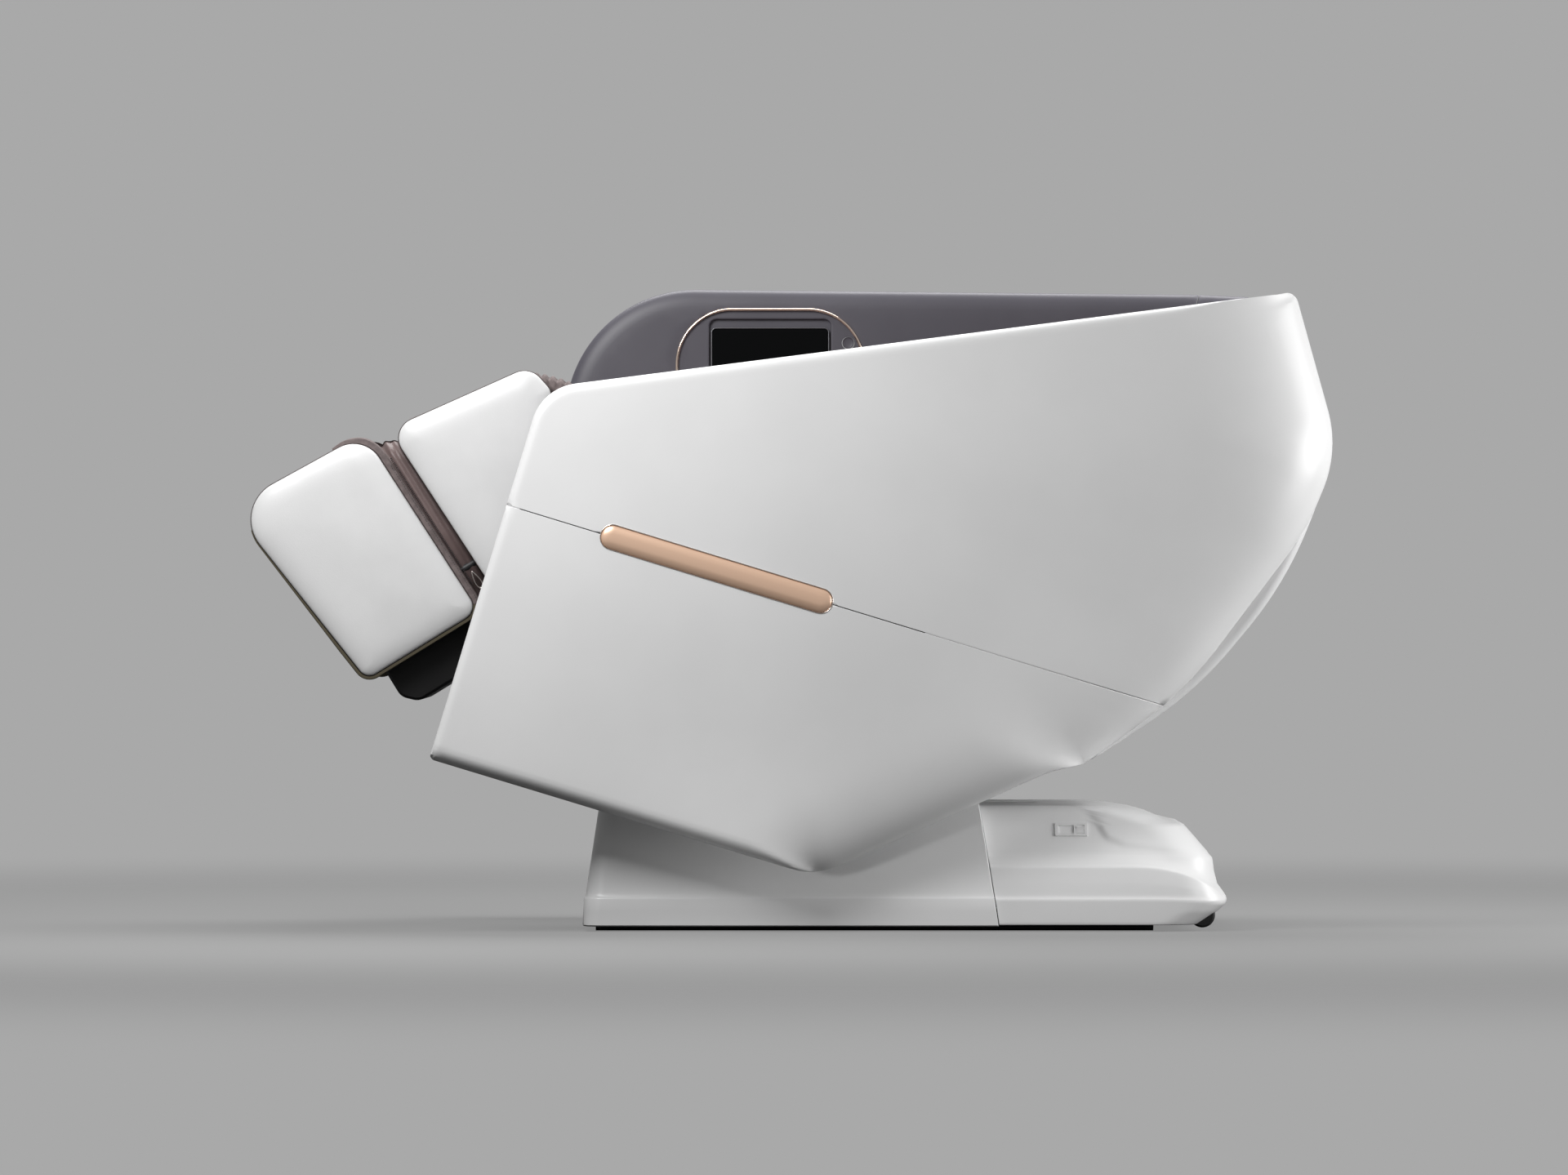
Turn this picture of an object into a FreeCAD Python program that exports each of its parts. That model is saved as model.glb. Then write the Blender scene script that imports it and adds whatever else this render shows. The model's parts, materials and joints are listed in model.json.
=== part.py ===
import FreeCAD, Part
import math
import os
import re
from collections import namedtuple
from types import SimpleNamespace

import Sketcher

# Reclining massage chair: a pod that tilts on a floor base, with a backrest that
# holds the massage carriage and a leg unit that lifts and lengthens.
# Millimetres and degrees. +Z is up, the feet point to -X, the sitter's right is +Y.

V = FreeCAD.Vector

SIZES = {
    # Rest pose: where the pod, backrest and leg unit turn, and how far they lean
    "pivot_x": -134.4,
    "pivot_z": 292.8,
    "rest_tilt": 17.0,
    "hip_x": -39.0,
    "hip_z": 251.0,
    "back_angle": 45.7,
    "knee_x": -447.0,
    "knee_z": 190.0,
    "leg_angle": 48.6,
    # Clearances
    "running_gap": 0.05,
    "panel_gap": 0.3,
    "slide_gap": 0.4,
    "seam_gap": 0.8,
    "trim_gap": 1.0,
    "open_pin_gap": 2.0,
    # Base frame and floor strips
    "rail_front": 462.0,
    "rail_rear": 366.0,
    "rail_y": 225.0,
    "rail_width": 40.0,
    "rail_height": 30.0,
    "rail_wall": 3.0,
    "strip_height": 3.0,
    "strip_width": 32.0,
    "cross_height": 20.0,
    "cross_width": 30.0,
    "cross_front": -400.0,
    "cross_rear": 260.0,
    "tray_front": 160.0,
    "tray_length": 190.0,
    "tray_thick": 3.0,
    "tower_y": 222.0,
    "tower_thick": 8.0,
    "tower_foot": 100.0,
    "ear_radius": 26.0,
    "tilt_shaft_radius": 12.5,
    # Base covers
    "cover_low": 10.0,
    "ridge_height": 50.0,
    "deck_height": 191.0,
    "cover_half": 302.0,
    "deck_half": 272.0,
    "cover_wall": 4.0,
    "cover_nose_low": 477.6,
    "cover_nose_ridge": 476.0,
    "cover_nose_deck": 453.0,
    "cover_corner": 24.0,
    "seam_low_x": 135.6,
    "seam_deck_x": 106.4,
    "well_front": 356.0,
    "well_rear": 20.0,
    "well_half": 256.0,
    "tail_low_x": 433.0,
    "tail_ridge_x": 474.0,
    "waist_height": 97.0,
    "tail_waist_x": 457.0,
    "waist_half": 292.0,
    "band_height": 113.0,
    "tail_band_x": 452.0,
    "band_half": 274.0,
    "hump_low_drop": 46.0,
    "hump_low_x": 424.0,
    "hump_mid_drop": 27.0,
    "hump_mid_x": 392.0,
    "hump_high_drop": 10.0,
    "hump_high_x": 340.0,
    "hump_top_x": 250.0,
    "hump_top_half": 212.0,
    "hump_corner": 70.0,
    # Transport wheels
    "wheel_x": 438.0,
    "wheel_z": 24.0,
    "wheel_radius": 19.0,
    "wheel_width": 22.0,
    "wheel_y": 252.0,
    "wheel_axle_radius": 5.0,
    "wheel_room": 4.0,
    # Power inlet and rocker switch on the hump's side
    "inlet_x": 243.6,
    "inlet_up": 46.4,
    "inlet_length": 44.0,
    "inlet_height": 20.0,
    "inlet_depth": 26.0,
    "inlet_lip": 2.0,
    "socket_x": -7.5,
    "socket_length": 23.0,
    "socket_height": 15.0,
    "socket_depth": 15.0,
    "contact_reach": 10.0,
    "contact_thick": 2.0,
    "switch_x": 14.0,
    "switch_length": 12.0,
    "switch_height": 16.0,
    "switch_pin_radius": 1.5,
    "switch_lean": 7.0,
    # Boxes on the tray
    "control_length": 110.0,
    "control_width": 150.0,
    "control_height": 62.0,
    "pump_radius": 38.0,
    "pump_length": 120.0,
    # Tilt ram
    "tilt_tail_x": -323.0,
    "tilt_tail_z": 62.0,
    "tilt_pin_x": -190.0,
    "tilt_pin_z": -20.0,
    "tilt_ram_y": -60.0,
    "tilt_body_length": 168.0,
    # Recline ram
    "recline_tail_x": -217.0,
    "recline_tail_z": -14.0,
    "recline_pin_t": -29.6,
    "recline_pin_n": -105.7,
    "recline_ram_y": 60.0,
    "recline_body_length": 200.0,
    # Both rams
    "ram_radius": 18.0,
    "rod_radius": 9.0,
    "rod_inside": 80.0,
    "fork_room": 22.0,
    "ram_bottom": 24.0,
    "eye_radius": 13.0,
    "eye_width": 14.0,
    "pin_radius": 5.0,
    "lug_thick": 6.0,
    "motor_radius": 21.0,
    "motor_length": 86.0,
    # Seat frame
    "plate_y": 236.0,
    "plate_thick": 5.0,
    "tube": 30.0,
    "front_tube_x": -300.0,
    "front_tube_z": 100.0,
    "ram_tube_x": -252.0,
    "ram_tube_z": 2.0,
    "rear_tube_x": 150.0,
    "rear_tube_z": 100.0,
    "seat_pan_thick": 3.0,
    "shelf_front": -390.0,
    "shelf_length": 310.0,
    "shelf_thick": 7.0,
    "shell_pad_length": 80.0,
    "shell_pad_height": 90.0,
    "shell_pad_thick": 4.0,
    "pivot_radius": 10.0,
    "apron_x": -322.0,
    "apron_low": -96.0,
    "apron_high": 226.0,
    "apron_thick": 4.0,
    "gear_size": 60.0,
    "gear_length": 54.0,
    # White side shells, seen from the side
    "shell_front": -535.0,
    "shell_bottom": -201.0,
    "shell_keel_x": 60.0,
    "shell_rise_x": 345.0,
    "shell_rise_z": 48.0,
    "shell_heel_x": 392.0,
    "shell_heel_z": 74.0,
    "shell_hip_x": 501.0,
    "shell_hip_z": 215.0,
    "shell_loin_x": 605.0,
    "shell_loin_z": 500.0,
    "shell_back_x": 617.0,
    "shell_back_z": 627.0,
    "shell_crown_x": 487.0,
    "shell_crown_z": 831.0,
    "shell_nose_z": 370.0,
    "shell_front_corner": 75.0,
    "shell_crown_corner": 15.0,
    "shell_keel_radius": 100.0,
    "shell_rise_radius": 120.0,
    "shell_back_radius": 350.0,
    "shell_loin_radius": 400.0,
    "shell_hip_radius": 700.0,
    "small_corner": 8.0,
    "shell_y": 400.0,
    "shell_wall": 4.0,
    "shell_rim_y": 352.0,
    "shell_rear_y": 300.0,
    "rim_keel_x": 336.0,
    "rim_crown_x": 462.0,
    "rear_roll": 80.0,
    "keel_roll": 60.0,
    "bottom_roll": 40.0,
    "edge_roll": 12.0,
    "seam_z": 190.0,
    # Rose-gold trim bars on the seam
    "trim_front": -389.0,
    "trim_length": 354.0,
    "trim_height": 35.0,
    "trim_flange": 6.0,
    "trim_dome": 4.0,
    # Grey liners inside the pod
    "liner_y": 316.0,
    "liner_thick": 33.0,
    "liner_front": -516.0,
    "liner_low": 150.0,
    "liner_drop": 8.0,
    "liner_rear_x": 440.0,
    "liner_edge": 8.0,
    "wing_nose_z": 550.0,
    "wing_nose_radius": 200.0,
    "wing_tail_x": 370.0,
    "wing_tail_drop": 20.0,
    "liner_rear_rise": 260.0,
    "wing_rear_rise": 220.0,
    "head_rear_rise": 300.0,
    "wing_end_x": 456.0,
    # Screen, its ring and the round button on the control wing
    "ring_x": -229.5,
    "ring_z": 513.3,
    "ring_lean": 17.0,
    "ring_length": 293.0,
    "ring_height": 179.0,
    "ring_wire": 3.0,
    "screen_length": 181.0,
    "screen_height": 117.0,
    "screen_corner": 7.0,
    "screen_margin": 5.0,
    "screen_sink": 10.0,
    "tablet_thick": 6.5,
    "glass_thick": 1.5,
    "button_along": 120.2,
    "button_up": 35.2,
    "button_radius": 9.0,
    "button_stand": 2.5,
    "button_depth": 8.0,
    "button_travel": 2.0,
    # Seat cushion and arm pads
    "seat_front_x": -395.0,
    "seat_front_z": 340.0,
    "seat_slope": 13.2,
    "seat_length": 355.0,
    "seat_half": 214.0,
    "seat_thick": 80.0,
    "seat_corner": 30.0,
    "seat_crown": 34.0,
    "arm_y": 218.0,
    "arm_width": 94.0,
    "arm_front_x": -396.0,
    "arm_rear_x": -74.0,
    "arm_low_z": 285.0,
    "arm_front_z": 380.0,
    "arm_rear_z": 440.0,
    "arm_corner": 34.0,
    "arm_channel": 64.0,
    "arm_channel_depth": 56.0,
    "arm_channel_stop": 40.0,
    # Backrest
    "back_plate_y": 222.0,
    "back_plate_thick": 5.0,
    "back_low": 33.0,
    "back_high": 717.0,
    "back_rib": 24.0,
    "back_face": -50.3,
    "back_depth": 150.0,
    "cover_arm_low": 300.0,
    "cover_arm_high": 430.0,
    "pad_low": 15.0,
    "pad_high": 722.0,
    "pad_half": 212.0,
    "pad_thick": 50.0,
    "pad_corner": 45.0,
    "pad_crown": 34.0,
    "pillow_low": 560.0,
    "pillow_high": 700.0,
    "pillow_half": 130.0,
    "pillow_thick": 28.0,
    "bolster_low": 110.0,
    "bolster_high": 640.0,
    "bolster_inner": 216.0,
    "bolster_outer": 298.0,
    "bolster_rise": 66.0,
    "bolster_sink": 10.0,
    "bolster_nose": 50.0,
    "bolster_nose_drop": 20.0,
    "bolster_crest": 140.0,
    "bolster_slope": 130.0,
    # White back cover, seen from the side
    "rear_heel_x": 398.0,
    "rear_heel_z": 80.0,
    "rear_hip_x": 515.0,
    "rear_hip_z": 218.0,
    "rear_loin_x": 598.0,
    "rear_loin_z": 415.0,
    "rear_back_x": 616.0,
    "rear_back_z": 626.0,
    "rear_crown_x": 484.0,
    "rear_crown_z": 826.0,
    "rear_lip_x": 400.0,
    "rear_hip_radius": 760.0,
    "rear_loin_radius": 560.0,
    "rear_half": 297.0,
    "rear_bulge": 8.0,
    "rear_wall": 4.0,
    # Massage carriage and its track
    "track_y": 170.0,
    "track_width": 24.0,
    "track_depth": 30.0,
    "track_wall": 3.0,
    "track_n": -115.0,
    "carriage_t": 385.0,
    "carriage_length": 120.0,
    "carriage_half": 150.0,
    "carriage_wall": 6.0,
    "carriage_floor": -170.0,
    "carriage_top": -92.0,
    "shoe_length": 40.0,
    "shoe_offset": 40.0,
    "knead_n": -130.0,
    "knead_radius": 10.0,
    "hub_radius": 22.0,
    "massage_y": 62.0,
    "massage_width": 20.0,
    "massage_reach": 75.0,
    "massage_lift": 40.0,
    "roller_radius": 27.0,
    "roller_width": 24.0,
    "roller_axle": 6.0,
    "gearbox_length": 80.0,
    "gearbox_half": 34.0,
    "gearbox_depth": 36.0,
    # Calf unit, along the leg axis
    "leg_pad_y": 218.0,
    "leg_pad_thick": 27.0,
    "leg_low": -43.0,
    "calf_end": -143.0,
    "calf_top_end": -151.0,
    "calf_top": 256.0,
    "calf_cut_low": -110.0,
    "calf_cut_high_x": 60.0,
    "calf_cut_high_z": 140.0,
    "calf_rear_x": 84.0,
    "calf_rear_z": 180.0,
    "calf_shoulder_x": 76.0,
    "calf_shoulder_z": 226.0,
    "well_floor": 40.0,
    "well_rise": 5.0,
    "calf_well_y": 108.0,
    "calf_well_width": 120.0,
    "calf_well_bottom": 88.0,
    "calf_plate_y": 186.0,
    "calf_plate_thick": 6.0,
    "calf_box_rear": -34.0,
    "calf_box_wall": 3.0,
    # Foot unit, along the leg axis
    "foot_start": -180.0,
    "foot_start_top": -187.0,
    "foot_end": -374.0,
    "foot_end_top": -413.0,
    "foot_top": 270.0,
    "foot_toe_top": 281.0,
    "foot_well_width": 116.0,
    "foot_heel": 6.0,
    "sole_x": -352.0,
    "sole_top_x": -378.0,
    "foot_plate_thick": 4.0,
    "rod_z": 22.0,
    "rod_y": 207.0,
    "slide_rod_radius": 6.0,
    "slide_tube_radius": 9.0,
    "slide_rod_end": -22.0,
    "holder_width": 22.0,
    "holder_length": 24.0,
    "foot_box_rear": -160.0,
    "foot_box_front": -346.0,
    "foot_box_depth": 68.0,
    "foot_box_half": 188.0,
    "foot_box_corner": 22.0,
    "foot_box_wall": 3.0,
    "sole_roller_x": -374.0,
    "sole_roller_z": 96.0,
    "sole_roller_radius": 15.0,
    "sole_roller_half": 170.0,
}

doc = FreeCAD.newDocument("massage_chair")
sheet = doc.addObject("Spreadsheet::Sheet", "Sizes")
for row, (name, number) in enumerate(SIZES.items(), 1):
    sheet.set(f"A{row}", name)
    sheet.set(f"B{row}", str(number))
    sheet.setAlias(f"B{row}", name)
doc.recompute()
size = SimpleNamespace(**{name: float(sheet.get(name)) for name in SIZES})

SIDES = {"left": -1, "right": 1}
parts = []


# Formulas and frames

def linked(formula):
    """Point each size named in a formula at its cell in the sheet."""
    def cell(word):
        return f"Sizes.{word[0]}" if word[0] in SIZES else word[0]
    return re.sub(r"[a-z]\w*", cell, str(formula))


Frame = namedtuple("Frame", "x z turn")


def nested(frame, x, z, turn="0"):
    """A frame set at x, z inside another and turned about the Y axis."""
    along = f"({frame.x} + ({x}) * cos({frame.turn}) + ({z}) * sin({frame.turn}))"
    up = f"({frame.z} - ({x}) * sin({frame.turn}) + ({z}) * cos({frame.turn}))"
    return Frame(along, up, f"({frame.turn} + ({turn}))")


WORLD = Frame("0", "0", "0")
POD = nested(WORLD, "pivot_x", "pivot_z", "rest_tilt")
BACK = nested(POD, "hip_x", "hip_z", "-back_angle")
LEG = nested(POD, "knee_x", "knee_z", "-leg_angle")
SEAT = nested(POD, "seat_front_x", "seat_front_z", "seat_slope")
RING = nested(POD, "ring_x", "ring_z", "-ring_lean")


def aimed(start, end):
    """A frame at start whose X axis points at end."""
    turn = f"(0 - atan2({end.z} - {start.z}; {end.x} - {start.x}) / 1 deg)"
    return Frame(start.x, start.z, turn)


TILT_RAM = aimed(nested(WORLD, "tilt_tail_x", "tilt_tail_z"), nested(POD, "tilt_pin_x", "tilt_pin_z"))
RECLINE_RAM = aimed(
    nested(POD, "recline_tail_x", "recline_tail_z"), nested(BACK, "recline_pin_t", "recline_pin_n"))


def seat(item, frame, x="0", y="0", z="0", lie=""):
    """Bind an item's placement to a point of a frame, lying along Y or X if asked."""
    point = nested(frame, x, z)
    turns = {
        "": f"rotation(vector(0; 1; 0); {point.turn})",
        "x": f"rotation(vector(0; 1; 0); {point.turn} + 90)",
        "y": "rotation(vector(1; 0; 0); -90)",
    }
    item.setExpression(
        "Placement", linked(f"placement(vector({point.x}; {y}; {point.z}); {turns[lie]})"))
    return item


def bind(item, **formulas):
    for prop, formula in formulas.items():
        item.setExpression(prop, linked(formula))
    return item


def inward(side, near, width):
    """The lower Y of a piece that starts at near on one side and is width wide."""
    return near if SIDES[side] > 0 else f"0 - ({near}) - ({width})"


# Bound primitives and booleans

def box(frame, x, y, z, length, width, height):
    item = bind(doc.addObject("Part::Box", "Block"), Length=length, Width=width, Height=height)
    return seat(item, frame, x, y, z)


def rod(frame, x, y, z, radius, length, lie="y"):
    item = bind(doc.addObject("Part::Cylinder", "Rod"), Radius=radius, Height=length)
    return seat(item, frame, x, y, z, lie)


def fuse(items):
    item = doc.addObject("Part::MultiFuse", "Joined")
    item.Shapes = items
    return item


def cut(base, tools):
    item = doc.addObject("Part::Cut", "Cut")
    item.Base = base
    item.Tool = tools[0] if len(tools) == 1 else fuse(tools)
    return item


def add(label, item):
    item.Label = label
    parts.append(item)
    return item


# Sketched bodies

def origin_plane(body, role):
    return next(plane for plane in body.Origin.OriginFeatures if plane.Role == role)


def polygon_sketch(body, corners):
    """A closed polygon on the body's side plane, each corner bound to the sheet."""
    sketch = body.newObject("Sketcher::SketchObject", "Outline")
    sketch.AttachmentSupport = [(origin_plane(body, "XZ_Plane"), "")]
    sketch.MapMode = "FlatFace"
    count = len(corners)
    start = [V(math.cos(math.tau * k / count), math.sin(math.tau * k / count), 0) for k in range(count)]
    for k in range(count):
        sketch.addGeometry(Part.LineSegment(start[k], start[(k + 1) % count]), False)
    for k in range(count):
        sketch.addConstraint(Sketcher.Constraint("Coincident", k, 2, (k + 1) % count, 1))
    for k, (across, up) in enumerate(corners):
        for kind, formula, guess in (("DistanceX", across, start[k].x), ("DistanceY", up, start[k].y)):
            index = sketch.addConstraint(Sketcher.Constraint(kind, -1, 1, k, 1, guess))
            sketch.setExpression(f"Constraints[{index}]", linked(formula))
    return sketch


def circle_sketch(body, across, up, radius):
    sketch = body.newObject("Sketcher::SketchObject", "Circle")
    sketch.AttachmentSupport = [(origin_plane(body, "XZ_Plane"), "")]
    sketch.MapMode = "FlatFace"
    sketch.addGeometry(Part.Circle(V(0, 0, 0), V(0, 0, 1), 1), False)
    for kind, formula in (("DistanceX", across), ("DistanceY", up)):
        index = sketch.addConstraint(Sketcher.Constraint(kind, -1, 1, 0, 3, 1))
        sketch.setExpression(f"Constraints[{index}]", linked(formula))
    index = sketch.addConstraint(Sketcher.Constraint("Radius", 0, 1))
    sketch.setExpression(f"Constraints[{index}]", linked(radius))
    return sketch


def plate(frame, corners, y, thick, bores=(), round_by=""):
    """A flat plate cut to a side outline, from y to y + thick, with round bores."""
    body = doc.addObject("PartDesign::Body", "Plate")
    pad = body.newObject("PartDesign::Pad", "Pad")
    pad.Profile = polygon_sketch(body, corners)
    pad.Reversed = True
    bind(pad, Length=thick)
    for across, up, radius in bores:
        doc.recompute()
        pocket = body.newObject("PartDesign::Pocket", "Bore")
        pocket.Profile = circle_sketch(body, across, up, radius)
        pocket.Type = "ThroughAll"
        pocket.Midplane = True
    if round_by:
        doc.recompute()
        tip = body.Tip
        upright = [
            f"Edge{k}" for k, edge in enumerate(tip.Shape.Edges, 1)
            if isinstance(edge.Curve, Part.Line) and abs(edge.tangentAt(edge.FirstParameter).y) > 0.99]
        fillet = body.newObject("PartDesign::Fillet", "Rounding")
        fillet.Base = (tip, upright)
        bind(fillet, Radius=round_by)
    return seat(body, frame, "0", y, "0")


def turned(frame, profile, x, y, z):
    """A piece turned about the Y axis from a half outline of radius and Y stations."""
    body = doc.addObject("PartDesign::Body", "Turned")
    sketch = body.newObject("Sketcher::SketchObject", "HalfOutline")
    sketch.AttachmentSupport = [(origin_plane(body, "XY_Plane"), "")]
    sketch.MapMode = "FlatFace"
    count = len(profile)
    start = [V(5 + math.cos(math.tau * k / count), math.sin(math.tau * k / count), 0) for k in range(count)]
    for k in range(count):
        sketch.addGeometry(Part.LineSegment(start[k], start[(k + 1) % count]), False)
    for k in range(count):
        sketch.addConstraint(Sketcher.Constraint("Coincident", k, 2, (k + 1) % count, 1))
    for k, (radius, station) in enumerate(profile):
        for kind, formula, guess in (("DistanceX", radius, start[k].x), ("DistanceY", station, start[k].y)):
            index = sketch.addConstraint(Sketcher.Constraint(kind, -1, 1, k, 1, guess))
            sketch.setExpression(f"Constraints[{index}]", linked(formula))
    spin = body.newObject("PartDesign::Revolution", "Turning")
    spin.Profile = sketch
    spin.ReferenceAxis = (origin_plane(body, "Y_Axis"), [""])
    spin.Angle = 360
    return seat(body, frame, x, y, z)


# Outlines with rounded corners, and lofts through several of them

Corner = namedtuple("Corner", "a b radius")


def inset(corners, moves):
    """Shift each edge of a counter-clockwise outline inward by its own distance."""
    count = len(corners)
    lines = []
    for k, corner in enumerate(corners):
        after = corners[(k + 1) % count]
        length = math.hypot(after.a - corner.a, after.b - corner.b)
        along = ((after.a - corner.a) / length, (after.b - corner.b) / length)
        shifted = (corner.a - along[1] * moves[k], corner.b + along[0] * moves[k])
        lines.append((shifted, along))
    moved = []
    for k, corner in enumerate(corners):
        (before, back), (point, ahead) = lines[k - 1], lines[k]
        turn = back[0] * ahead[1] - back[1] * ahead[0]
        reach = ((point[0] - before[0]) * ahead[1] - (point[1] - before[1]) * ahead[0]) / turn
        radius = corner.radius - math.copysign(1, turn) * (moves[k - 1] + moves[k]) / 2
        moved.append(Corner(before[0] + back[0] * reach, before[1] + back[1] * reach, max(radius, 1.0)))
    return moved


def rounded_wire(corners, place):
    """Lines joined by tangent arcs; place turns an outline point into space."""
    count = len(corners)
    rounds = []
    for k, corner in enumerate(corners):
        before, after = corners[k - 1], corners[(k + 1) % count]
        back = V(before.a - corner.a, before.b - corner.b, 0)
        ahead = V(after.a - corner.a, after.b - corner.b, 0)
        half = back.getAngle(ahead) / 2
        reach = min(corner.radius / math.tan(half), 0.49 * back.Length, 0.49 * ahead.Length)
        radius = reach * math.tan(half)
        back.normalize()
        ahead.normalize()
        here = V(corner.a, corner.b, 0)
        middle = (back + ahead).normalize()
        rounds.append((
            here + back * reach, here + middle * (radius / math.sin(half) - radius), here + ahead * reach))
    edges = []
    for k, (enter, middle, leave) in enumerate(rounds):
        edges.append(Part.Arc(*(place(p.x, p.y) for p in (enter, middle, leave))).toShape())
        following = rounds[(k + 1) % count][0]
        edges.append(Part.LineSegment(place(leave.x, leave.y), place(following.x, following.y)).toShape())
    return Part.Wire(edges)


def across(level):
    """Outlines drawn from the side, set at a distance across the chair."""
    return lambda a, b: V(a, level, b)


def above(level):
    """Outlines drawn from above, set at a height."""
    return lambda a, b: V(a, b, level)


def loft(corners, levels, place):
    """A solid through copies of an outline: (level, inset or insets) for each."""
    wires = []
    for level, moves in levels:
        each = moves if isinstance(moves, (list, tuple)) else [moves] * len(corners)
        wires.append(rounded_wire(inset(corners, each), place(level)))
    return Part.makeLoft(wires, True, True)


def cushion_levels(low, high, seam, crown):
    """Drawn-in sides and a crown between two faces of a cushion."""
    depth = high - low
    return (
        (low, seam), (low + 0.12 * depth, 0), (high - 0.34 * depth, 0),
        (high - 0.14 * depth, 0.28 * crown), (high, crown))


def side_levels(low, high, edge):
    """Both faces of a panel rounded by the same edge size."""
    return (
        (low, edge), (low + 0.3 * edge, 0.3 * edge), (low + edge, 0),
        (high - edge, 0), (high - 0.3 * edge, 0.3 * edge), (high, edge))


def roll(level, start, depth, reach):
    """How far an edge rolls inward at a level, as a quarter ellipse."""
    part_way = min(max((level - start) / depth, 0.0), 1.0)
    return reach * (1.0 - math.sqrt(1.0 - part_way ** 2))


def solid(label, shape, frame):
    """A sub-part made from a shape, with its placement bound like the others."""
    item = doc.addObject("Part::Feature", label)
    item.Shape = shape
    return add(label, seat(item, frame))


def mirrored(shape, side):
    return shape if SIDES[side] > 0 else shape.mirror(V(0, 0, 0), V(0, 1, 0))


# Base

def base_frame():
    """Floor rails, middle bar, cross members, tray, pivot towers, ram lugs, wheel arms."""
    floor = "strip_height"
    top = "(strip_height + rail_height)"
    cross_low = f"{top} - cross_height"
    inside = "(cover_half - cover_wall)"
    pieces = []
    for side in SIDES:
        edge = inward(side, "rail_y - rail_width / 2", "rail_width")
        pieces.append(cut(
            box(WORLD, "-rail_front", edge, floor, "rail_front + rail_rear", "rail_width", "rail_height"),
            [box(WORLD, "-rail_front - 1", f"{edge} + rail_wall", f"{floor} + rail_wall",
                 "rail_front + rail_rear + 2", "rail_width - 2 * rail_wall", "rail_height - 2 * rail_wall")]))
        arm_y = inward(side, "rail_y - rail_width / 2", "rail_width / 2")
        arm_z = "wheel_z - 2 * wheel_axle_radius"
        pieces.append(cut(
            box(WORLD, "rail_rear", arm_y, arm_z, "wheel_x + 2 * wheel_axle_radius - rail_rear",
                "rail_width / 2", "4 * wheel_axle_radius"),
            [rod(WORLD, "wheel_x", "-rail_y - rail_width", "wheel_z", "wheel_axle_radius + running_gap",
                 "2 * (rail_y + rail_width)")]))
        tower = [
            ("pivot_x - tower_foot", top), ("pivot_x + tower_foot", top),
            ("pivot_x + ear_radius", "pivot_z"), ("pivot_x + ear_radius", "pivot_z + ear_radius"),
            ("pivot_x - ear_radius", "pivot_z + ear_radius"), ("pivot_x - ear_radius", "pivot_z")]
        bore = [("pivot_x", "pivot_z", "tilt_shaft_radius + running_gap")]
        pieces.append(plate(WORLD, tower, inward(side, "tower_y", "tower_thick"), "tower_thick", bore))
    pieces.append(box(
        WORLD, "0 - cross_width / 2", "rail_width / 2 - rail_y", floor, "cross_width",
        "2 * rail_y - rail_width", "rail_height"))
    for place in ("cross_front", "pivot_x - cross_width / 2", "cross_rear"):
        pieces.append(box(
            WORLD, place, f"-{inside}", cross_low, "cross_width", f"2 * {inside}", "cross_height"))
    pieces.append(box(
        WORLD, "tilt_tail_x - cross_width / 2", "-rail_y", cross_low, "cross_width", "2 * rail_y",
        "cross_height"))
    for side in SIDES:
        start = f"tilt_ram_y + {inward(side, 'eye_width / 2 + panel_gap', 'lug_thick')}"
        lug = [
            ("tilt_tail_x - eye_radius", top), ("tilt_tail_x + eye_radius", top),
            ("tilt_tail_x + eye_radius", "tilt_tail_z + eye_radius"),
            ("tilt_tail_x - eye_radius", "tilt_tail_z + eye_radius")]
        pieces.append(plate(WORLD, lug, start, "lug_thick"))
    pieces.append(rod(
        WORLD, "tilt_tail_x", "tilt_ram_y - eye_width / 2 - panel_gap - lug_thick", "tilt_tail_z",
        "pin_radius", "eye_width + 2 * (panel_gap + lug_thick)"))
    pieces.append(box(WORLD, "tray_front", "-rail_y", top, "tray_length", "2 * rail_y", "tray_thick"))
    add("base_frame", fuse(pieces))


def floor_strips():
    """Rubber strips under the rails and the middle bar: what the chair stands on."""
    strips = [
        box(WORLD, "-rail_front", inward(side, "rail_y - strip_width / 2", "strip_width"), "0",
            "rail_front + rail_rear", "strip_width", "strip_height")
        for side in SIDES]
    strips.append(box(
        WORLD, "0 - cross_width / 2", "0 - rail_y", "0", "cross_width", "2 * rail_y", "strip_height"))
    add("floor_strips", fuse(strips))


def seam_x(height):
    """Where the two base covers meet, at a height."""
    share = (height - size.cover_low) / (size.deck_height - size.cover_low)
    return size.seam_low_x + share * (size.seam_deck_x - size.seam_low_x)


def plan(x0, x1, half, front_corner, rear_corner):
    return [
        Corner(x0, -half, front_corner), Corner(x1, -half, rear_corner),
        Corner(x1, half, rear_corner), Corner(x0, half, front_corner)]


def stacked(outlines):
    return Part.makeLoft([rounded_wire(outline, above(level)) for level, outline in outlines], True, True)


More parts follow.
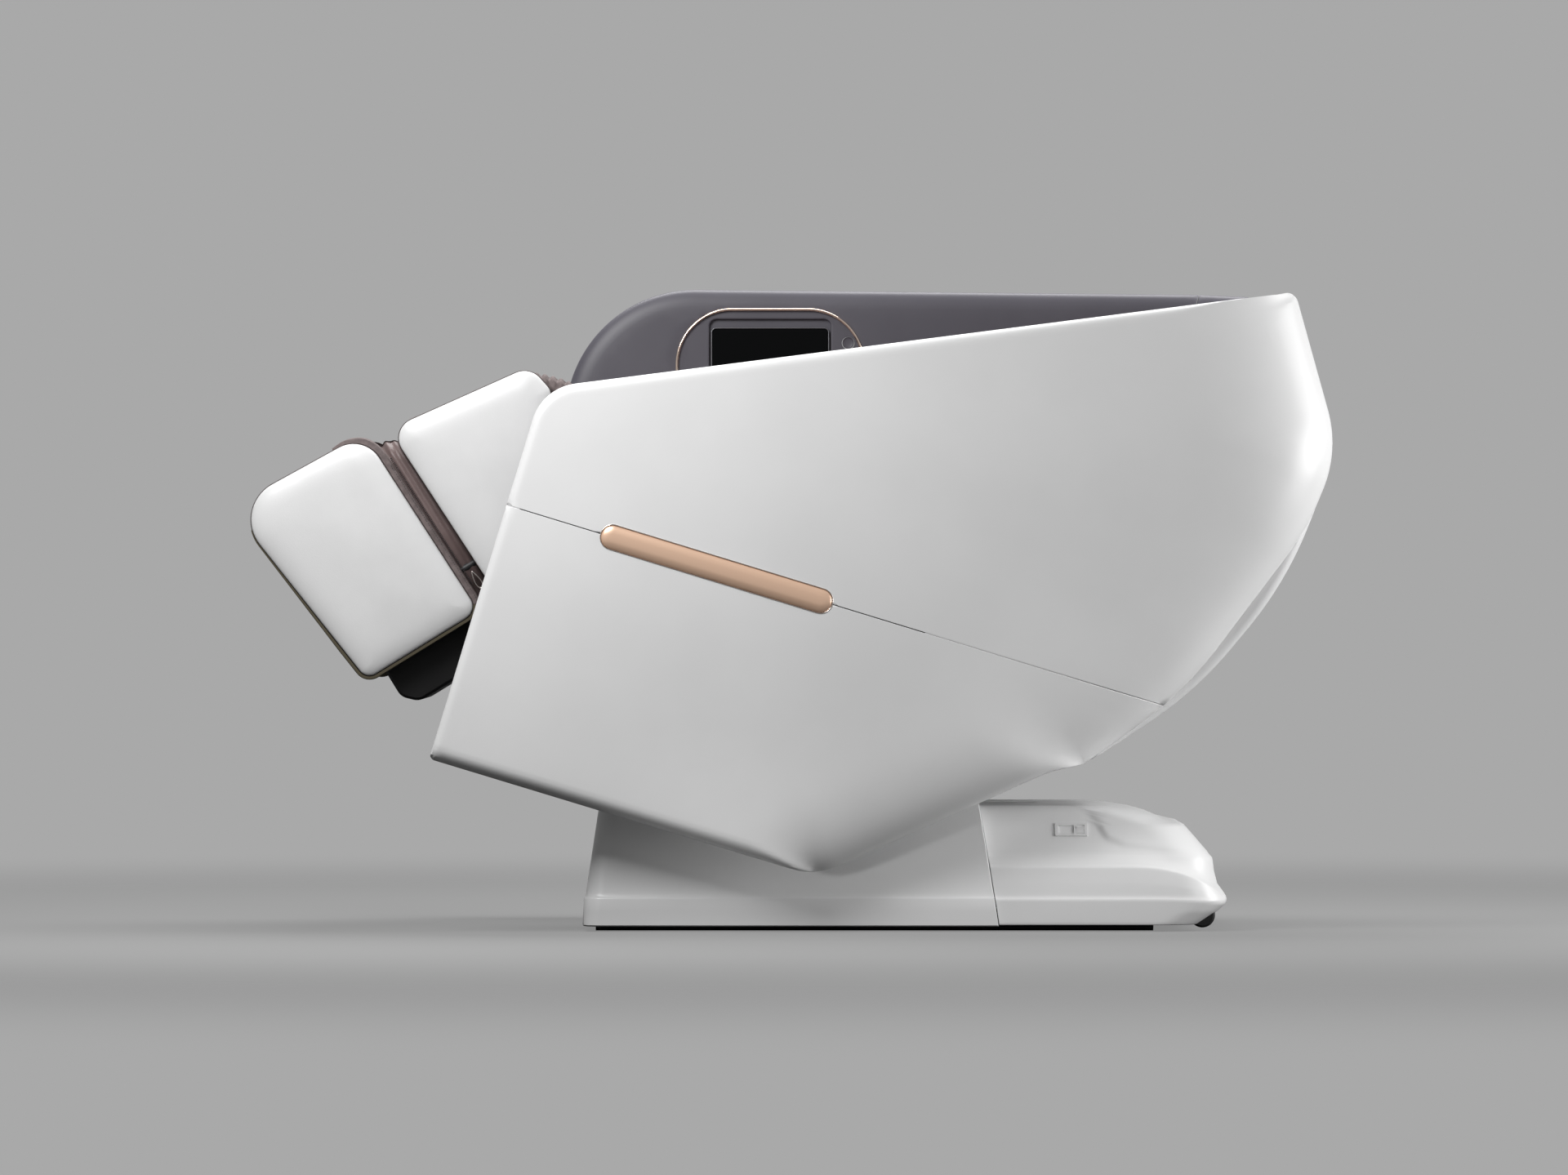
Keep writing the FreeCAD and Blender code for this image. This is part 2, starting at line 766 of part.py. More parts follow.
def base_front_cover():
    """White front cover: upright skirt, ridge, then faces that lean in to the deck."""
    sections = (
        (size.cover_low, size.cover_nose_low, size.cover_half),
        (size.ridge_height, size.cover_nose_ridge, size.cover_half),
        (size.deck_height, size.cover_nose_deck, size.deck_half))

    def hull(wall, past):
        outlines = []
        for height, nose, half in sections:
            level = height
            if wall:
                level = height + (0 if height == size.ridge_height else -wall)
            outlines.append((level, plan(
                wall - nose, seam_x(height) - size.panel_gap / 2 + past, half - wall,
                size.cover_corner - wall, 1.0)))
        return stacked(outlines)

    shape = hull(0, 0).cut(hull(size.cover_wall, size.cover_nose_low))
    well = Part.makeBox(
        size.well_front - size.well_rear, 2 * size.well_half, size.deck_height,
        V(-size.well_front, -size.well_half, size.ridge_height))
    solid("base_front_cover", shape.cut(well), WORLD)


def hump_half(height):
    """Half width of the sloping sides above the band."""
    share = (height - size.band_height) / (size.deck_height - size.band_height)
    return size.band_half + share * (size.hump_top_half - size.band_half)


def hump_section(drop, tail):
    """One level of the hump, a drop below the deck: height, tail and half width."""
    height = size.deck_height - drop
    return (height, tail, hump_half(height))


def inlet_frame():
    """Placement on the hump's near slope: X along the chair, Y into the cover."""
    rise = size.deck_height - size.band_height
    lean = math.degrees(math.atan2(size.band_half - size.hump_top_half, rise))
    height = size.band_height + size.inlet_up * math.cos(math.radians(lean))
    spot = V(0, -hump_half(height), height)
    return FreeCAD.Placement(spot, FreeCAD.Rotation(V(1, 0, 0), -lean))


def base_rear_cover():
    """White rear cover: a humped deck over the electrics, cut for inlet and wheels."""
    sections = (
        (size.cover_low, size.tail_low_x, size.cover_half),
        (size.ridge_height, size.tail_ridge_x, size.cover_half),
        (size.waist_height, size.tail_waist_x, size.waist_half),
        (size.band_height, size.tail_band_x, size.band_half),
        hump_section(size.hump_low_drop, size.hump_low_x),
        hump_section(size.hump_mid_drop, size.hump_mid_x),
        hump_section(size.hump_high_drop, size.hump_high_x),
        (size.deck_height, size.hump_top_x, size.hump_top_half))

    def hull(wall, past):
        outlines = []
        for height, tail, half in sections:
            level = height - (wall if height in (size.cover_low, size.deck_height) else 0)
            outlines.append((level, plan(
                seam_x(height) + size.panel_gap / 2 - past, tail - wall, half - wall,
                1.0, size.hump_corner - wall)))
        return stacked(outlines)

    shape = hull(0, 0).cut(hull(size.cover_wall, size.cover_nose_low))
    room = size.wheel_radius + size.wheel_room
    inner = size.rail_y - size.rail_width / 2 - size.wheel_room
    outer = size.wheel_y + size.wheel_width / 2 + size.wheel_room
    for side in SIDES.values():
        start = V(size.wheel_x, side * inner, size.wheel_z)
        shape = shape.cut(Part.makeCylinder(room, outer - inner, start, V(0, side, 0)))
    length = size.inlet_length + 2 * size.panel_gap
    height = size.inlet_height + 2 * size.panel_gap
    hole = Part.makeBox(
        length, 4 * size.cover_wall, height, V(-length / 2, -2 * size.cover_wall, -height / 2))
    solid("base_rear_cover", shape.cut(on_slope(hole)), WORLD)


def power_inlet():
    """Power inlet in the hump's side: contacts in a socket, and room for its switch."""
    length, height, lip = size.inlet_length, size.inlet_height, size.inlet_lip
    body = Part.makeBox(length, size.inlet_depth, height, V(-length / 2, 0, -height / 2))
    face = Part.makeBox(
        length + 2 * lip, lip, height + 2 * lip, V(-length / 2 - lip, -lip, -height / 2 - lip))
    socket = Part.makeBox(
        size.socket_length, size.socket_depth + lip, size.socket_height,
        V(size.socket_x - size.socket_length / 2, -lip, -size.socket_height / 2))
    room = Part.makeBox(
        size.switch_length, size.socket_depth + lip, size.switch_height,
        V(size.switch_x - size.switch_length / 2, -lip, -size.switch_height / 2))
    shape = body.fuse(face).cut(socket).cut(room).cut(switch_pin(0.0))
    thick = size.contact_thick
    for across_socket, up in ((-0.25, -0.15), (0.25, -0.15), (0.0, 0.2)):
        x = size.socket_x + across_socket * size.socket_length
        shape = shape.fuse(Part.makeBox(
            thick, size.contact_reach, 2 * thick,
            V(x - thick / 2, size.socket_depth - size.contact_reach, up * size.socket_height - thick)))
    solid("power_inlet", on_slope(shape.removeSplitter()), WORLD)


def switch_pin(gap):
    """The rocker's pivot, between the cheeks of the inlet body."""
    length = size.inlet_length / 2 - size.inlet_lip - size.switch_x + size.switch_length / 2
    start = V(size.switch_x - size.switch_length / 2 - size.inlet_lip / 2, size.socket_depth / 2, 0)
    return Part.makeCylinder(size.switch_pin_radius - gap, length, start, V(1, 0, 0))


def on_slope(shape):
    """Set a shape made round the inlet's own centre on the hump's near slope."""
    spot = inlet_frame()
    spot.move(V(size.inlet_x, 0, 0))
    return shape.transformed(spot.toMatrix(), True)


def rocker_switch():
    """Rocker that tips on its pin in the inlet body."""
    reach = size.switch_height / 2 - size.slide_gap
    pin = size.switch_pin_radius
    axis = size.socket_depth / 2
    face = -size.inlet_lip
    outline = [
        Corner(pin - reach, face - 1.0, 1.0), Corner(0.0, face + 0.4, 6.0),
        Corner(reach - pin, face - 1.0, 1.0), Corner(reach - 1.5 * pin, axis - pin, 1.0),
        Corner(1.5 * pin, axis + pin, 1.0),
        Corner(-1.5 * pin, axis + pin, 1.0), Corner(1.5 * pin - reach, axis - pin, 1.0)]
    start = size.switch_x - size.switch_length / 2 + size.panel_gap
    wire = rounded_wire(outline, lambda a, b: V(start, b, a))
    rocker = Part.Face(wire).extrude(V(size.switch_length - 2 * size.panel_gap, 0, 0))
    rocker.rotate(V(0, axis, 0), V(1, 0, 0), size.switch_lean)
    shape = rocker.fuse(switch_pin(size.running_gap))
    solid("rocker_switch", on_slope(shape.removeSplitter()), WORLD)


def transport_wheels():
    """Two small wheels on one axle behind the rails, for rolling the chair away."""
    wheels = []
    for side in SIDES:
        start = inward(side, "wheel_y - wheel_width / 2", "wheel_width")
        rim = [
            ("0", "0"), ("wheel_radius - 3", "0"), ("wheel_radius", "3"),
            ("wheel_radius", "wheel_width - 3"), ("wheel_radius - 3", "wheel_width"), ("0", "wheel_width")]
        wheels.append(turned(WORLD, rim, "wheel_x", start, "wheel_z"))
    wheels.append(rod(
        WORLD, "wheel_x", "-wheel_y", "wheel_z", "wheel_axle_radius", "2 * wheel_y"))
    add("transport_wheels", fuse(wheels))


def tray_boxes():
    """Control box and air pump on the tray under the hump."""
    top = "strip_height + rail_height + tray_thick"
    add("control_box", box(
        WORLD, "tray_front + tray_thick", "0 - control_width - tray_thick", top,
        "control_length", "control_width", "control_height"))
    feet = box(
        WORLD, "tray_front + tray_thick", "pump_radius / 2", top, "pump_length",
        "pump_radius", "pump_radius")
    drum = rod(
        WORLD, "tray_front + tray_thick", "pump_radius", f"{top} + pump_radius", "pump_radius",
        "pump_length", "x")
    add("air_pump", fuse([feet, drum]))


def ram(name, frame, y, body_length, reach):
    """A linear drive: eye, motor and tube, and the rod that slides in the tube."""
    bore = "rod_radius + running_gap"
    tail = rod(frame, "0", f"{y} - eye_width / 2", "0", "eye_radius", "eye_width")
    barrel = rod(frame, "0", y, "0", "ram_radius", body_length, "x")
    under = "(0 - ram_radius - motor_radius - slide_gap)"
    motor = rod(frame, "ram_bottom", y, under, "motor_radius", "motor_length", "x")
    bridge = box(
        frame, "ram_bottom", f"{y} - ram_radius / 2", under, "ram_radius", "ram_radius", f"0 - {under}")
    cheeks = [
        box(frame, "0 - ram_radius", f"{y} + {offset}", "0 - 2 * ram_radius",
            "ram_radius + fork_room", "ram_radius", "4 * ram_radius")
        for offset in ("eye_width / 2", "0 - eye_width / 2 - ram_radius")]
    eye = rod(frame, "0", f"{y} - eye_width", "0", "pin_radius + running_gap", "2 * eye_width")
    hollow = rod(frame, "ram_bottom", y, "0", bore, body_length, "x")
    shell = cut(fuse([barrel, motor, bridge]), cheeks)
    add(f"{name}_body", cut(fuse([shell, tail]), [eye, hollow]))
    shaft = rod(frame, f"{body_length} - rod_inside", y, "0", "rod_radius",
                f"{reach} - fork_room - ({body_length}) + rod_inside", "x")
    tongue = box(frame, f"{reach} - fork_room", f"{y} - eye_width / 2", "0 - rod_radius",
                 "fork_room", "eye_width", "2 * rod_radius")
    head = rod(frame, reach, f"{y} - eye_width / 2", "0", "eye_radius", "eye_width")
    hole = rod(frame, reach, f"{y} - eye_width", "0", "pin_radius + open_pin_gap", "2 * eye_width")
    add(f"{name}_rod", cut(fuse([shaft, tongue, head]), [hole]))


def distance(start, end):
    return f"sqrt(({end.x} - {start.x}) ^ 2 + ({end.z} - {start.z}) ^ 2)"


# Pod

def shell_outline():
    """Side view of a white shell, counter-clockwise from the front bottom corner."""
    return [
        Corner(size.shell_front, size.shell_bottom, size.small_corner),
        Corner(size.shell_keel_x, size.shell_bottom, size.shell_keel_radius),
        Corner(size.shell_rise_x, size.shell_rise_z, size.shell_rise_radius),
        Corner(size.shell_heel_x, size.shell_heel_z, size.small_corner),
        Corner(size.shell_hip_x, size.shell_hip_z, size.shell_hip_radius),
        Corner(size.shell_loin_x, size.shell_loin_z, size.shell_loin_radius),
        Corner(size.shell_back_x, size.shell_back_z, size.shell_back_radius),
        Corner(size.shell_crown_x, size.shell_crown_z, size.shell_crown_corner),
        Corner(size.shell_front, size.shell_nose_z, size.shell_front_corner)]


def shell_top(x):
    """Height of the shell's straight top line."""
    slope = (size.shell_crown_z - size.shell_nose_z) / (size.shell_crown_x - size.shell_front)
    return size.shell_nose_z + slope * (x - size.shell_front)


def shell_tray():
    """The right-hand shell before the seam splits it: a face with rolled edges."""
    levels = (0.0, 0.42, 0.70, 0.88, 0.97, 1.0)

    def skin(wall):
        corners = inset(shell_outline(), [wall] * 9)
        outer = size.shell_y - wall
        sections = []
        for share in levels:
            y = size.shell_rear_y + share * (outer - size.shell_rear_y)
            rear = roll(y, size.shell_rear_y, outer - size.shell_rear_y, size.rear_roll - wall)
            keel = roll(y, size.shell_rim_y, outer - size.shell_rim_y, size.keel_roll - wall)
            bottom = roll(y, size.shell_rim_y, outer - size.shell_rim_y, size.bottom_roll - wall)
            edge = roll(y, outer - size.edge_roll + wall, size.edge_roll - wall, size.edge_roll - wall)
            start = y - (1.0 if wall and share == 0.0 else 0.0)
            sections.append((start, [bottom, keel, rear, rear, rear, rear, rear, edge, edge]))
        return loft(corners, sections, across)

    tray = skin(0.0).cut(skin(size.shell_wall))
    far = 3 * size.shell_y
    lean = (size.rim_crown_x - size.rim_keel_x) / (size.shell_crown_z - size.shell_rise_z)
    low = size.rim_keel_x - lean * (far + size.shell_rise_z)
    high = size.rim_crown_x + lean * (far - size.shell_crown_z)
    front_room = Part.Face(Part.makePolygon([
        V(-far, 0, -far), V(low, 0, -far), V(high, 0, far), V(-far, 0, far), V(-far, 0, -far)]))
    return tray.cut(front_room.extrude(V(0, size.shell_rim_y, 0)))


def stadium(gap):
    """Outline of a trim bar, grown by a gap."""
    low = size.seam_z - size.trim_height / 2 - gap
    high = size.seam_z + size.trim_height / 2 + gap
    front = size.trim_front - gap
    rear = size.trim_front + size.trim_length + gap
    radius = size.trim_height / 2 + gap - 0.05
    return [Corner(front, low, radius), Corner(rear, low, radius), Corner(rear, high, radius),
            Corner(front, high, radius)]


def side_shells():
    """Upper and lower white shell on each side, parted along the seam."""
    tray = shell_tray()
    far = 3 * size.shell_y
    seam = Part.makeBox(2 * far, far, size.seam_gap, V(-far, 0, size.seam_z - size.seam_gap / 2))
    slot = loft(stadium(size.trim_gap), ((size.shell_rim_y, 0), (far, 0)), across)
    upper_room = Part.makeBox(2 * far, far, far, V(-far, 0, size.seam_z))
    lower_room = Part.makeBox(2 * far, far, far, V(-far, 0, size.seam_z - far))
    opened = tray.cut(slot).cut(seam)
    for side in SIDES:
        solid(f"{side}_upper_shell", mirrored(opened.common(upper_room), side), POD)
        solid(f"{side}_lower_shell", mirrored(opened.common(lower_room), side), POD)


def trim_bars():
    """Domed rose-gold bars clipped into the seam, with a flange behind the wall."""
    inner = size.shell_y - size.shell_wall
    flange = loft(stadium(size.trim_flange), ((inner - 3.0, 0), (inner, 0)), across)
    top = size.shell_y + size.trim_dome
    levels = ((inner - 1.0, 0), (size.shell_y, 0), (top - 1.5, 3.0), (top, 9.0))
    bar = flange.fuse(loft(stadium(0.0), levels, across)).removeSplitter()
    for side in SIDES:
        solid(f"{side}_trim_bar", mirrored(bar, side), POD)


def liner_levels():
    return side_levels(size.liner_y, size.liner_y + size.liner_thick, size.liner_edge)


def left_liner():
    """Grey inner panel that stays below the shell's top line."""
    drop = size.liner_drop
    outline = [
        Corner(size.liner_front, size.liner_low, 20.0),
        Corner(size.liner_rear_x, size.liner_low + size.liner_rear_rise, 60.0),
        Corner(size.liner_rear_x, shell_top(size.liner_rear_x) - drop, 20.0),
        Corner(size.liner_front, shell_top(size.liner_front) - drop, 66.0)]
    solid("left_liner", mirrored(loft(outline, liner_levels(), across), "left"), POD)


def ring_place(a, b):
    """A point of the ring's own frame in the pod's frame."""
    lean = math.radians(size.ring_lean)
    return (size.ring_x + a * math.cos(lean) - b * math.sin(lean),
            size.ring_z + a * math.sin(lean) + b * math.cos(lean))


def ring_outline(length, height, radius):
    corners = ((-length, -height), (length, -height), (length, height), (-length, height))
    return [Corner(*ring_place(a / 2, b / 2), radius) for a, b in corners]


def wing_top(x):
    """Height of the control wing's straight top edge."""
    tail_z = size.shell_crown_z - size.wing_tail_drop
    slope = (tail_z - size.wing_nose_z) / (size.wing_tail_x - size.liner_front)
    return size.wing_nose_z + slope * (x - size.liner_front)


def control_wing():
    """Tall grey panel on the sitter's right, with the screen recess and button bore."""
    gap = size.panel_gap
    outline = [
        Corner(size.liner_front, size.liner_low, 20.0),
        Corner(size.wing_tail_x, size.liner_low + size.wing_rear_rise, 60.0),
        Corner(size.wing_tail_x, wing_top(size.wing_tail_x), 1.0),
        Corner(size.liner_front, wing_top(size.liner_front), size.wing_nose_radius)]
    shape = loft(outline, liner_levels(), across)
    margin = 2 * size.screen_margin
    recess = loft(
        ring_outline(size.screen_length + margin, size.screen_height + margin,
                     size.screen_corner + size.screen_margin),
        ((size.liner_y - 1.0, 0), (size.liner_y + size.screen_sink, 0)), across)
    x, z = ring_place(size.button_along, size.button_up)
    depth = size.button_depth + size.button_travel + gap
    bore = Part.makeCylinder(
        size.button_radius + gap, depth + 1.0, V(x, size.liner_y - size.button_stand - 1.0, z), V(0, 1, 0))
    solid("control_wing", shape.cut(recess).cut(bore), POD)


def right_head_liner():
    """Grey piece behind the control wing, across a narrow seam."""
    front = size.wing_tail_x + size.seam_gap
    outline = [
        Corner(front, size.liner_low + size.liner_rear_rise, 1.0),
        Corner(size.wing_end_x, size.liner_low + size.head_rear_rise, 40.0),
        Corner(size.wing_end_x, wing_top(size.wing_end_x) - 3.0, 12.0),
        Corner(front, wing_top(front), 1.0)]
    solid("right_head_liner", loft(outline, liner_levels(), across), POD)


def screen_ring():
    """Thin bright ring round the screen: a stadium bent from one wire."""
    wire = size.ring_wire
    end = size.ring_height / 2 - wire
    half = size.ring_length / 2 - wire - end
    y = size.liner_y - wire
    pieces = []
    for sign in (-1, 1):
        x, z = ring_place(sign * half, 0)
        lean = FreeCAD.Rotation(V(0, 1, 0), -size.ring_lean)
        bend = Part.makeTorus(end, wire, V(), V(0, 1, 0), 0, 360, 360)
        corner = V(0 if sign > 0 else -4 * end, -2 * end, -2 * end)
        cover_side = Part.makeBox(4 * end, 4 * end, 4 * end, corner)
        bend = bend.common(cover_side)
        bend.Placement = FreeCAD.Placement(V(x, y, z), lean)
        pieces.append(bend)
        start = ring_place(-half, sign * end)
        way = FreeCAD.Placement(V(), lean).multVec(V(1, 0, 0))
        pieces.append(Part.makeCylinder(wire, 2 * half, V(start[0], y, start[1]), way))
    solid("screen_ring", pieces[0].multiFuse(pieces[1:]), POD)


def screen_unit():
    """Tablet body sunk in the wing, its glass, and the round button beside it."""
    floor = size.liner_y + size.screen_sink
    outline = ring_outline(size.screen_length, size.screen_height, size.screen_corner)
    back = floor - size.tablet_thick
    solid("tablet", loft(outline, ((back, 0), (floor, 0)), across), POD)
    glass = loft(outline, ((back - size.glass_thick, 2.4), (back, 1.6)), across)
    solid("tablet_glass", glass, POD)
    x, z = ring_place(size.button_along, size.button_up)
    button = Part.makeCylinder(
        size.button_radius, size.button_depth, V(x, size.liner_y - size.button_stand, z), V(0, 1, 0))
    solid("round_button", button, POD)


def seat_frame():
    """Side plates, cross tubes, seat pan, arm shelves and the pads that hold the shells."""
    ear = "ear_radius"
    shelf_z = "(arm_low_z - panel_gap - shelf_thick)"
    outline = [
        ("knee_x - ear_radius", "knee_z - ear_radius"), ("front_tube_x - tube", "front_tube_z - tube"),
        ("ram_tube_x - tube / 2", "ram_tube_z - tube / 2"), (f"0 - {ear}", f"0 - {ear}"),
        (ear, f"0 - {ear}"), ("rear_tube_x + tube / 2", "rear_tube_z - tube / 2"),
        ("rear_tube_x + tube / 2", "rear_tube_z + tube / 2"),
        ("hip_x + ear_radius", "hip_z + ear_radius"), ("shelf_front + shelf_length", shelf_z),
        ("shelf_front", shelf_z), ("knee_x - ear_radius", "knee_z + ear_radius")]
    outer = "(shell_y - shell_wall)"
    pieces = []
    for side in SIDES:
        bores = [
            ("0", "0", "tilt_shaft_radius + running_gap"), ("hip_x", "hip_z", "pivot_radius + running_gap"),
            ("knee_x", "knee_z", "pivot_radius + running_gap")]
        pieces.append(plate(POD, outline, inward(side, "plate_y", "plate_thick"), "plate_thick", bores))
        pieces.append(box(
            POD, "shelf_front", inward(side, "plate_y", "liner_y - plate_y"), shelf_z,
            "shelf_length", "liner_y - plate_y", "shelf_thick"))
        for x, z in (("front_tube_x", "front_tube_z"), ("rear_tube_x", "rear_tube_z")):
            y = inward(side, f"{outer} - shell_pad_thick", "shell_pad_thick")
            pieces.append(box(
                POD, f"{x} - shell_pad_length / 2", y, f"{z} - shell_pad_height / 2",
                "shell_pad_length", "shell_pad_thick", "shell_pad_height"))
    for x, z, half in (
            ("front_tube_x", "front_tube_z", outer), ("rear_tube_x", "rear_tube_z", outer),
            ("ram_tube_x", "ram_tube_z", "plate_y")):
        pieces.append(box(
            POD, f"{x} - tube / 2", f"0 - {half}", f"{z} - tube / 2", "tube", f"2 * {half}", "tube"))
    pieces.append(box(
        SEAT, "tube / 2", "0 - plate_y", "0 - seat_thick - panel_gap - seat_pan_thick",
        "seat_length - tube", "2 * plate_y", "seat_pan_thick"))
    spread = "eye_width / 2 + panel_gap"
    for y, tip_x, tip_z in (
            ("tilt_ram_y", "tilt_pin_x", "tilt_pin_z"),
            ("recline_ram_y", "recline_tail_x", "recline_tail_z")):
        for side in SIDES:
            lug = [
                ("ram_tube_x", "ram_tube_z - tube / 2"), (tip_x, f"{tip_z} - eye_radius"),
                (f"{tip_x} + eye_radius", f"{tip_z} - eye_radius"),
                (f"{tip_x} + eye_radius", f"{tip_z} + eye_radius"), ("ram_tube_x", "ram_tube_z + tube / 2")]
            start = f"{y} + {inward(side, spread, 'lug_thick')}"
            pieces.append(plate(POD, lug, start, "lug_thick"))
        pieces.append(rod(
            POD, tip_x, f"{y} - {spread} - lug_thick", tip_z, "pin_radius", f"2 * ({spread} + lug_thick)"))
    add("seat_frame", fuse(pieces))


def tilt_shaft():
    """Fixed steel shaft through the towers; the pod turns on its ends."""
    half = "(plate_y + plate_thick + 3)"
    add("tilt_shaft", rod(WORLD, "pivot_x", f"0 - {half}", "pivot_z", "tilt_shaft_radius", f"2 * {half}"))


def front_apron():
    """Panel behind the leg unit that closes the front of the pod."""
    add("front_apron", box(
        POD, "apron_x - apron_thick", "0 - plate_y + panel_gap", "apron_low", "apron_thick",
        "2 * (plate_y - panel_gap)", "apron_high - apron_low"))


def legrest_gearmotor():
    """Worm gear motor on the left side plate that turns the knee shaft."""
    start = "0 - plate_y - plate_thick - gear_length"
    housing = box(
        POD, "knee_x - gear_size / 2", start, "knee_z - gear_size / 2", "gear_size", "gear_length",
        "gear_size")
    bore = rod(POD, "knee_x", start, "knee_z", "pivot_radius + running_gap", "gear_length + 1")
    motor = rod(
        POD, "knee_x + gear_size / 2", "0 - plate_y - plate_thick - gear_length / 2", "knee_z",
        "gear_length / 2 - 4", "1.5 * gear_size", "x")
    add("legrest_gearmotor", fuse([cut(housing, [bore]), motor]))


def seat_cushion():
    length, half = size.seat_length, size.seat_half
    outline = [
        Corner(0, -half, size.seat_corner), Corner(length, -half, size.seat_corner),
        Corner(length, half, size.seat_corner), Corner(0, half, size.seat_corner)]
    levels = cushion_levels(-size.seat_thick, 0.0, 4.0, size.seat_crown)
    solid("seat_cushion", loft(outline, levels, above), SEAT)


def arm_pads():
    """Arm pads with an open channel for the forearm."""
    front, rear = size.arm_front_x, size.arm_rear_x
    outline = [
        Corner(front, size.arm_low_z, 6.0), Corner(rear, size.arm_low_z, 6.0),
        Corner(rear, size.arm_rear_z, size.arm_corner), Corner(front, size.arm_front_z, size.arm_corner)]
    levels = side_levels(size.arm_y, size.arm_y + size.arm_width, 7.0)
    deep = size.arm_channel_depth
    stop = rear - size.arm_channel_stop
    room = [
        Corner(front - 99.0, size.arm_front_z - deep - 18.0, 5.0),
        Corner(stop, size.arm_rear_z - deep - 7.0, 26.0),
        Corner(stop, size.arm_rear_z + 99.0, 5.0), Corner(front - 99.0, size.arm_rear_z + 99.0, 5.0)]
    middle = size.arm_y + size.arm_width / 2
    start, end = middle - size.arm_channel / 2, middle + size.arm_channel / 2
    pad = loft(outline, levels, across).cut(loft(room, ((start, 0), (end, 0)), across))
    for side in SIDES:
        solid(f"{side}_arm_pad", mirrored(pad, side), POD)


# Backrest

def rear_outline():
    """Side view of the back cover: rear edge, crown and top lip, open to the front."""
    lip_z = size.rear_crown_z - (shell_top(size.rear_crown_x) - shell_top(size.rear_lip_x))
    return [
        Corner(size.rear_heel_x, size.rear_heel_z, 2.0),
        Corner(size.rear_hip_x, size.rear_hip_z, size.rear_hip_radius),
        Corner(size.rear_loin_x, size.rear_loin_z, size.rear_loin_radius),
        Corner(size.rear_back_x, size.rear_back_z, size.shell_back_radius),
        Corner(size.rear_crown_x, size.rear_crown_z, size.shell_crown_corner),
        Corner(size.rear_lip_x, lip_z, 2.0)]


def rear_hull(wall, ahead):
    """The space inside the back cover's skin, bulged a little across its width."""
    half = size.rear_half
    sections = []
    for share in (-1.0, -0.72, -0.4, 0.0, 0.4, 0.72, 1.0):
        dip = size.rear_bulge * share ** 2 + wall
        sections.append((share * (half + (1.0 if wall else 0.0)), [dip, dip, dip, dip, dip, -ahead]))
    return loft(rear_outline(), sections, across)


def back_cover():
    shape = rear_hull(0.0, 0.0).cut(rear_hull(size.rear_wall, 60.0))
    solid("back_cover", shape, POD)


def back_frame():
    """Side plates cut to meet the cover, cross members, hip pins and the ram crank."""
    ear = "ear_radius"
    face = "back_face"
    deep = "(0 - back_depth)"
    far = "(0 - 3 * back_depth)"
    outline = [
        (f"0 - {ear}", f"0 - {ear}"), ("back_low", deep), ("cover_arm_low", deep), ("cover_arm_low", far),
        ("cover_arm_high", far), ("cover_arm_high", deep), ("back_high - 3 * back_rib", deep),
        ("back_high - 3 * back_rib", "0 - 2 * back_depth"), ("back_high", "0 - 2 * back_depth"),
        ("back_high", face), ("back_low + back_rib", face), (ear, ear), (f"0 - {ear}", ear)]
    room = doc.addObject("Part::Feature", "Room")
    room.Shape = rear_hull(size.rear_wall, 900.0)
    seat(room, POD)
    pieces = []
    for side in SIDES:
        side_plate = plate(
            BACK, outline, inward(side, "back_plate_y", "back_plate_thick"), "back_plate_thick")
        trimmed = doc.addObject("Part::Common", "Trimmed")
        trimmed.Base = side_plate
        trimmed.Tool = room
        pieces.append(trimmed)
        pin_y = inward(side, "back_plate_y", "plate_y + plate_thick - back_plate_y")
        pieces.append(rod(
            BACK, "0", pin_y, "0", "pivot_radius", "plate_y + plate_thick - back_plate_y"))
        crank_y = f"recline_ram_y + {inward(side, 'eye_width / 2 + panel_gap', 'lug_thick')}"
        tip = ("recline_pin_t", "recline_pin_n")
        crank = [
            (f"{tip[0]} - eye_radius", f"{tip[1]} - eye_radius"),
            ("back_low + 1", f"{tip[1]} - 2 * eye_radius"),
            ("back_low + 1", f"{tip[1]} + 2 * eye_radius"),
            (f"{tip[0]} - eye_radius", f"{tip[1]} + eye_radius")]
        pieces.append(plate(BACK, crank, crank_y, "lug_thick"))
    spread = "(eye_width / 2 + panel_gap + lug_thick)"
    pieces.append(rod(
        BACK, "recline_pin_t", f"recline_ram_y - {spread}", "recline_pin_n", "pin_radius", f"2 * {spread}"))
    for start in ("back_low", "back_high - back_rib"):
        pieces.append(box(
            BACK, start, "0 - back_plate_y", f"{deep} + back_rib", "back_rib", "2 * back_plate_y",
            f"{face} - {deep} - back_rib"))
    add("back_frame", fuse(pieces))


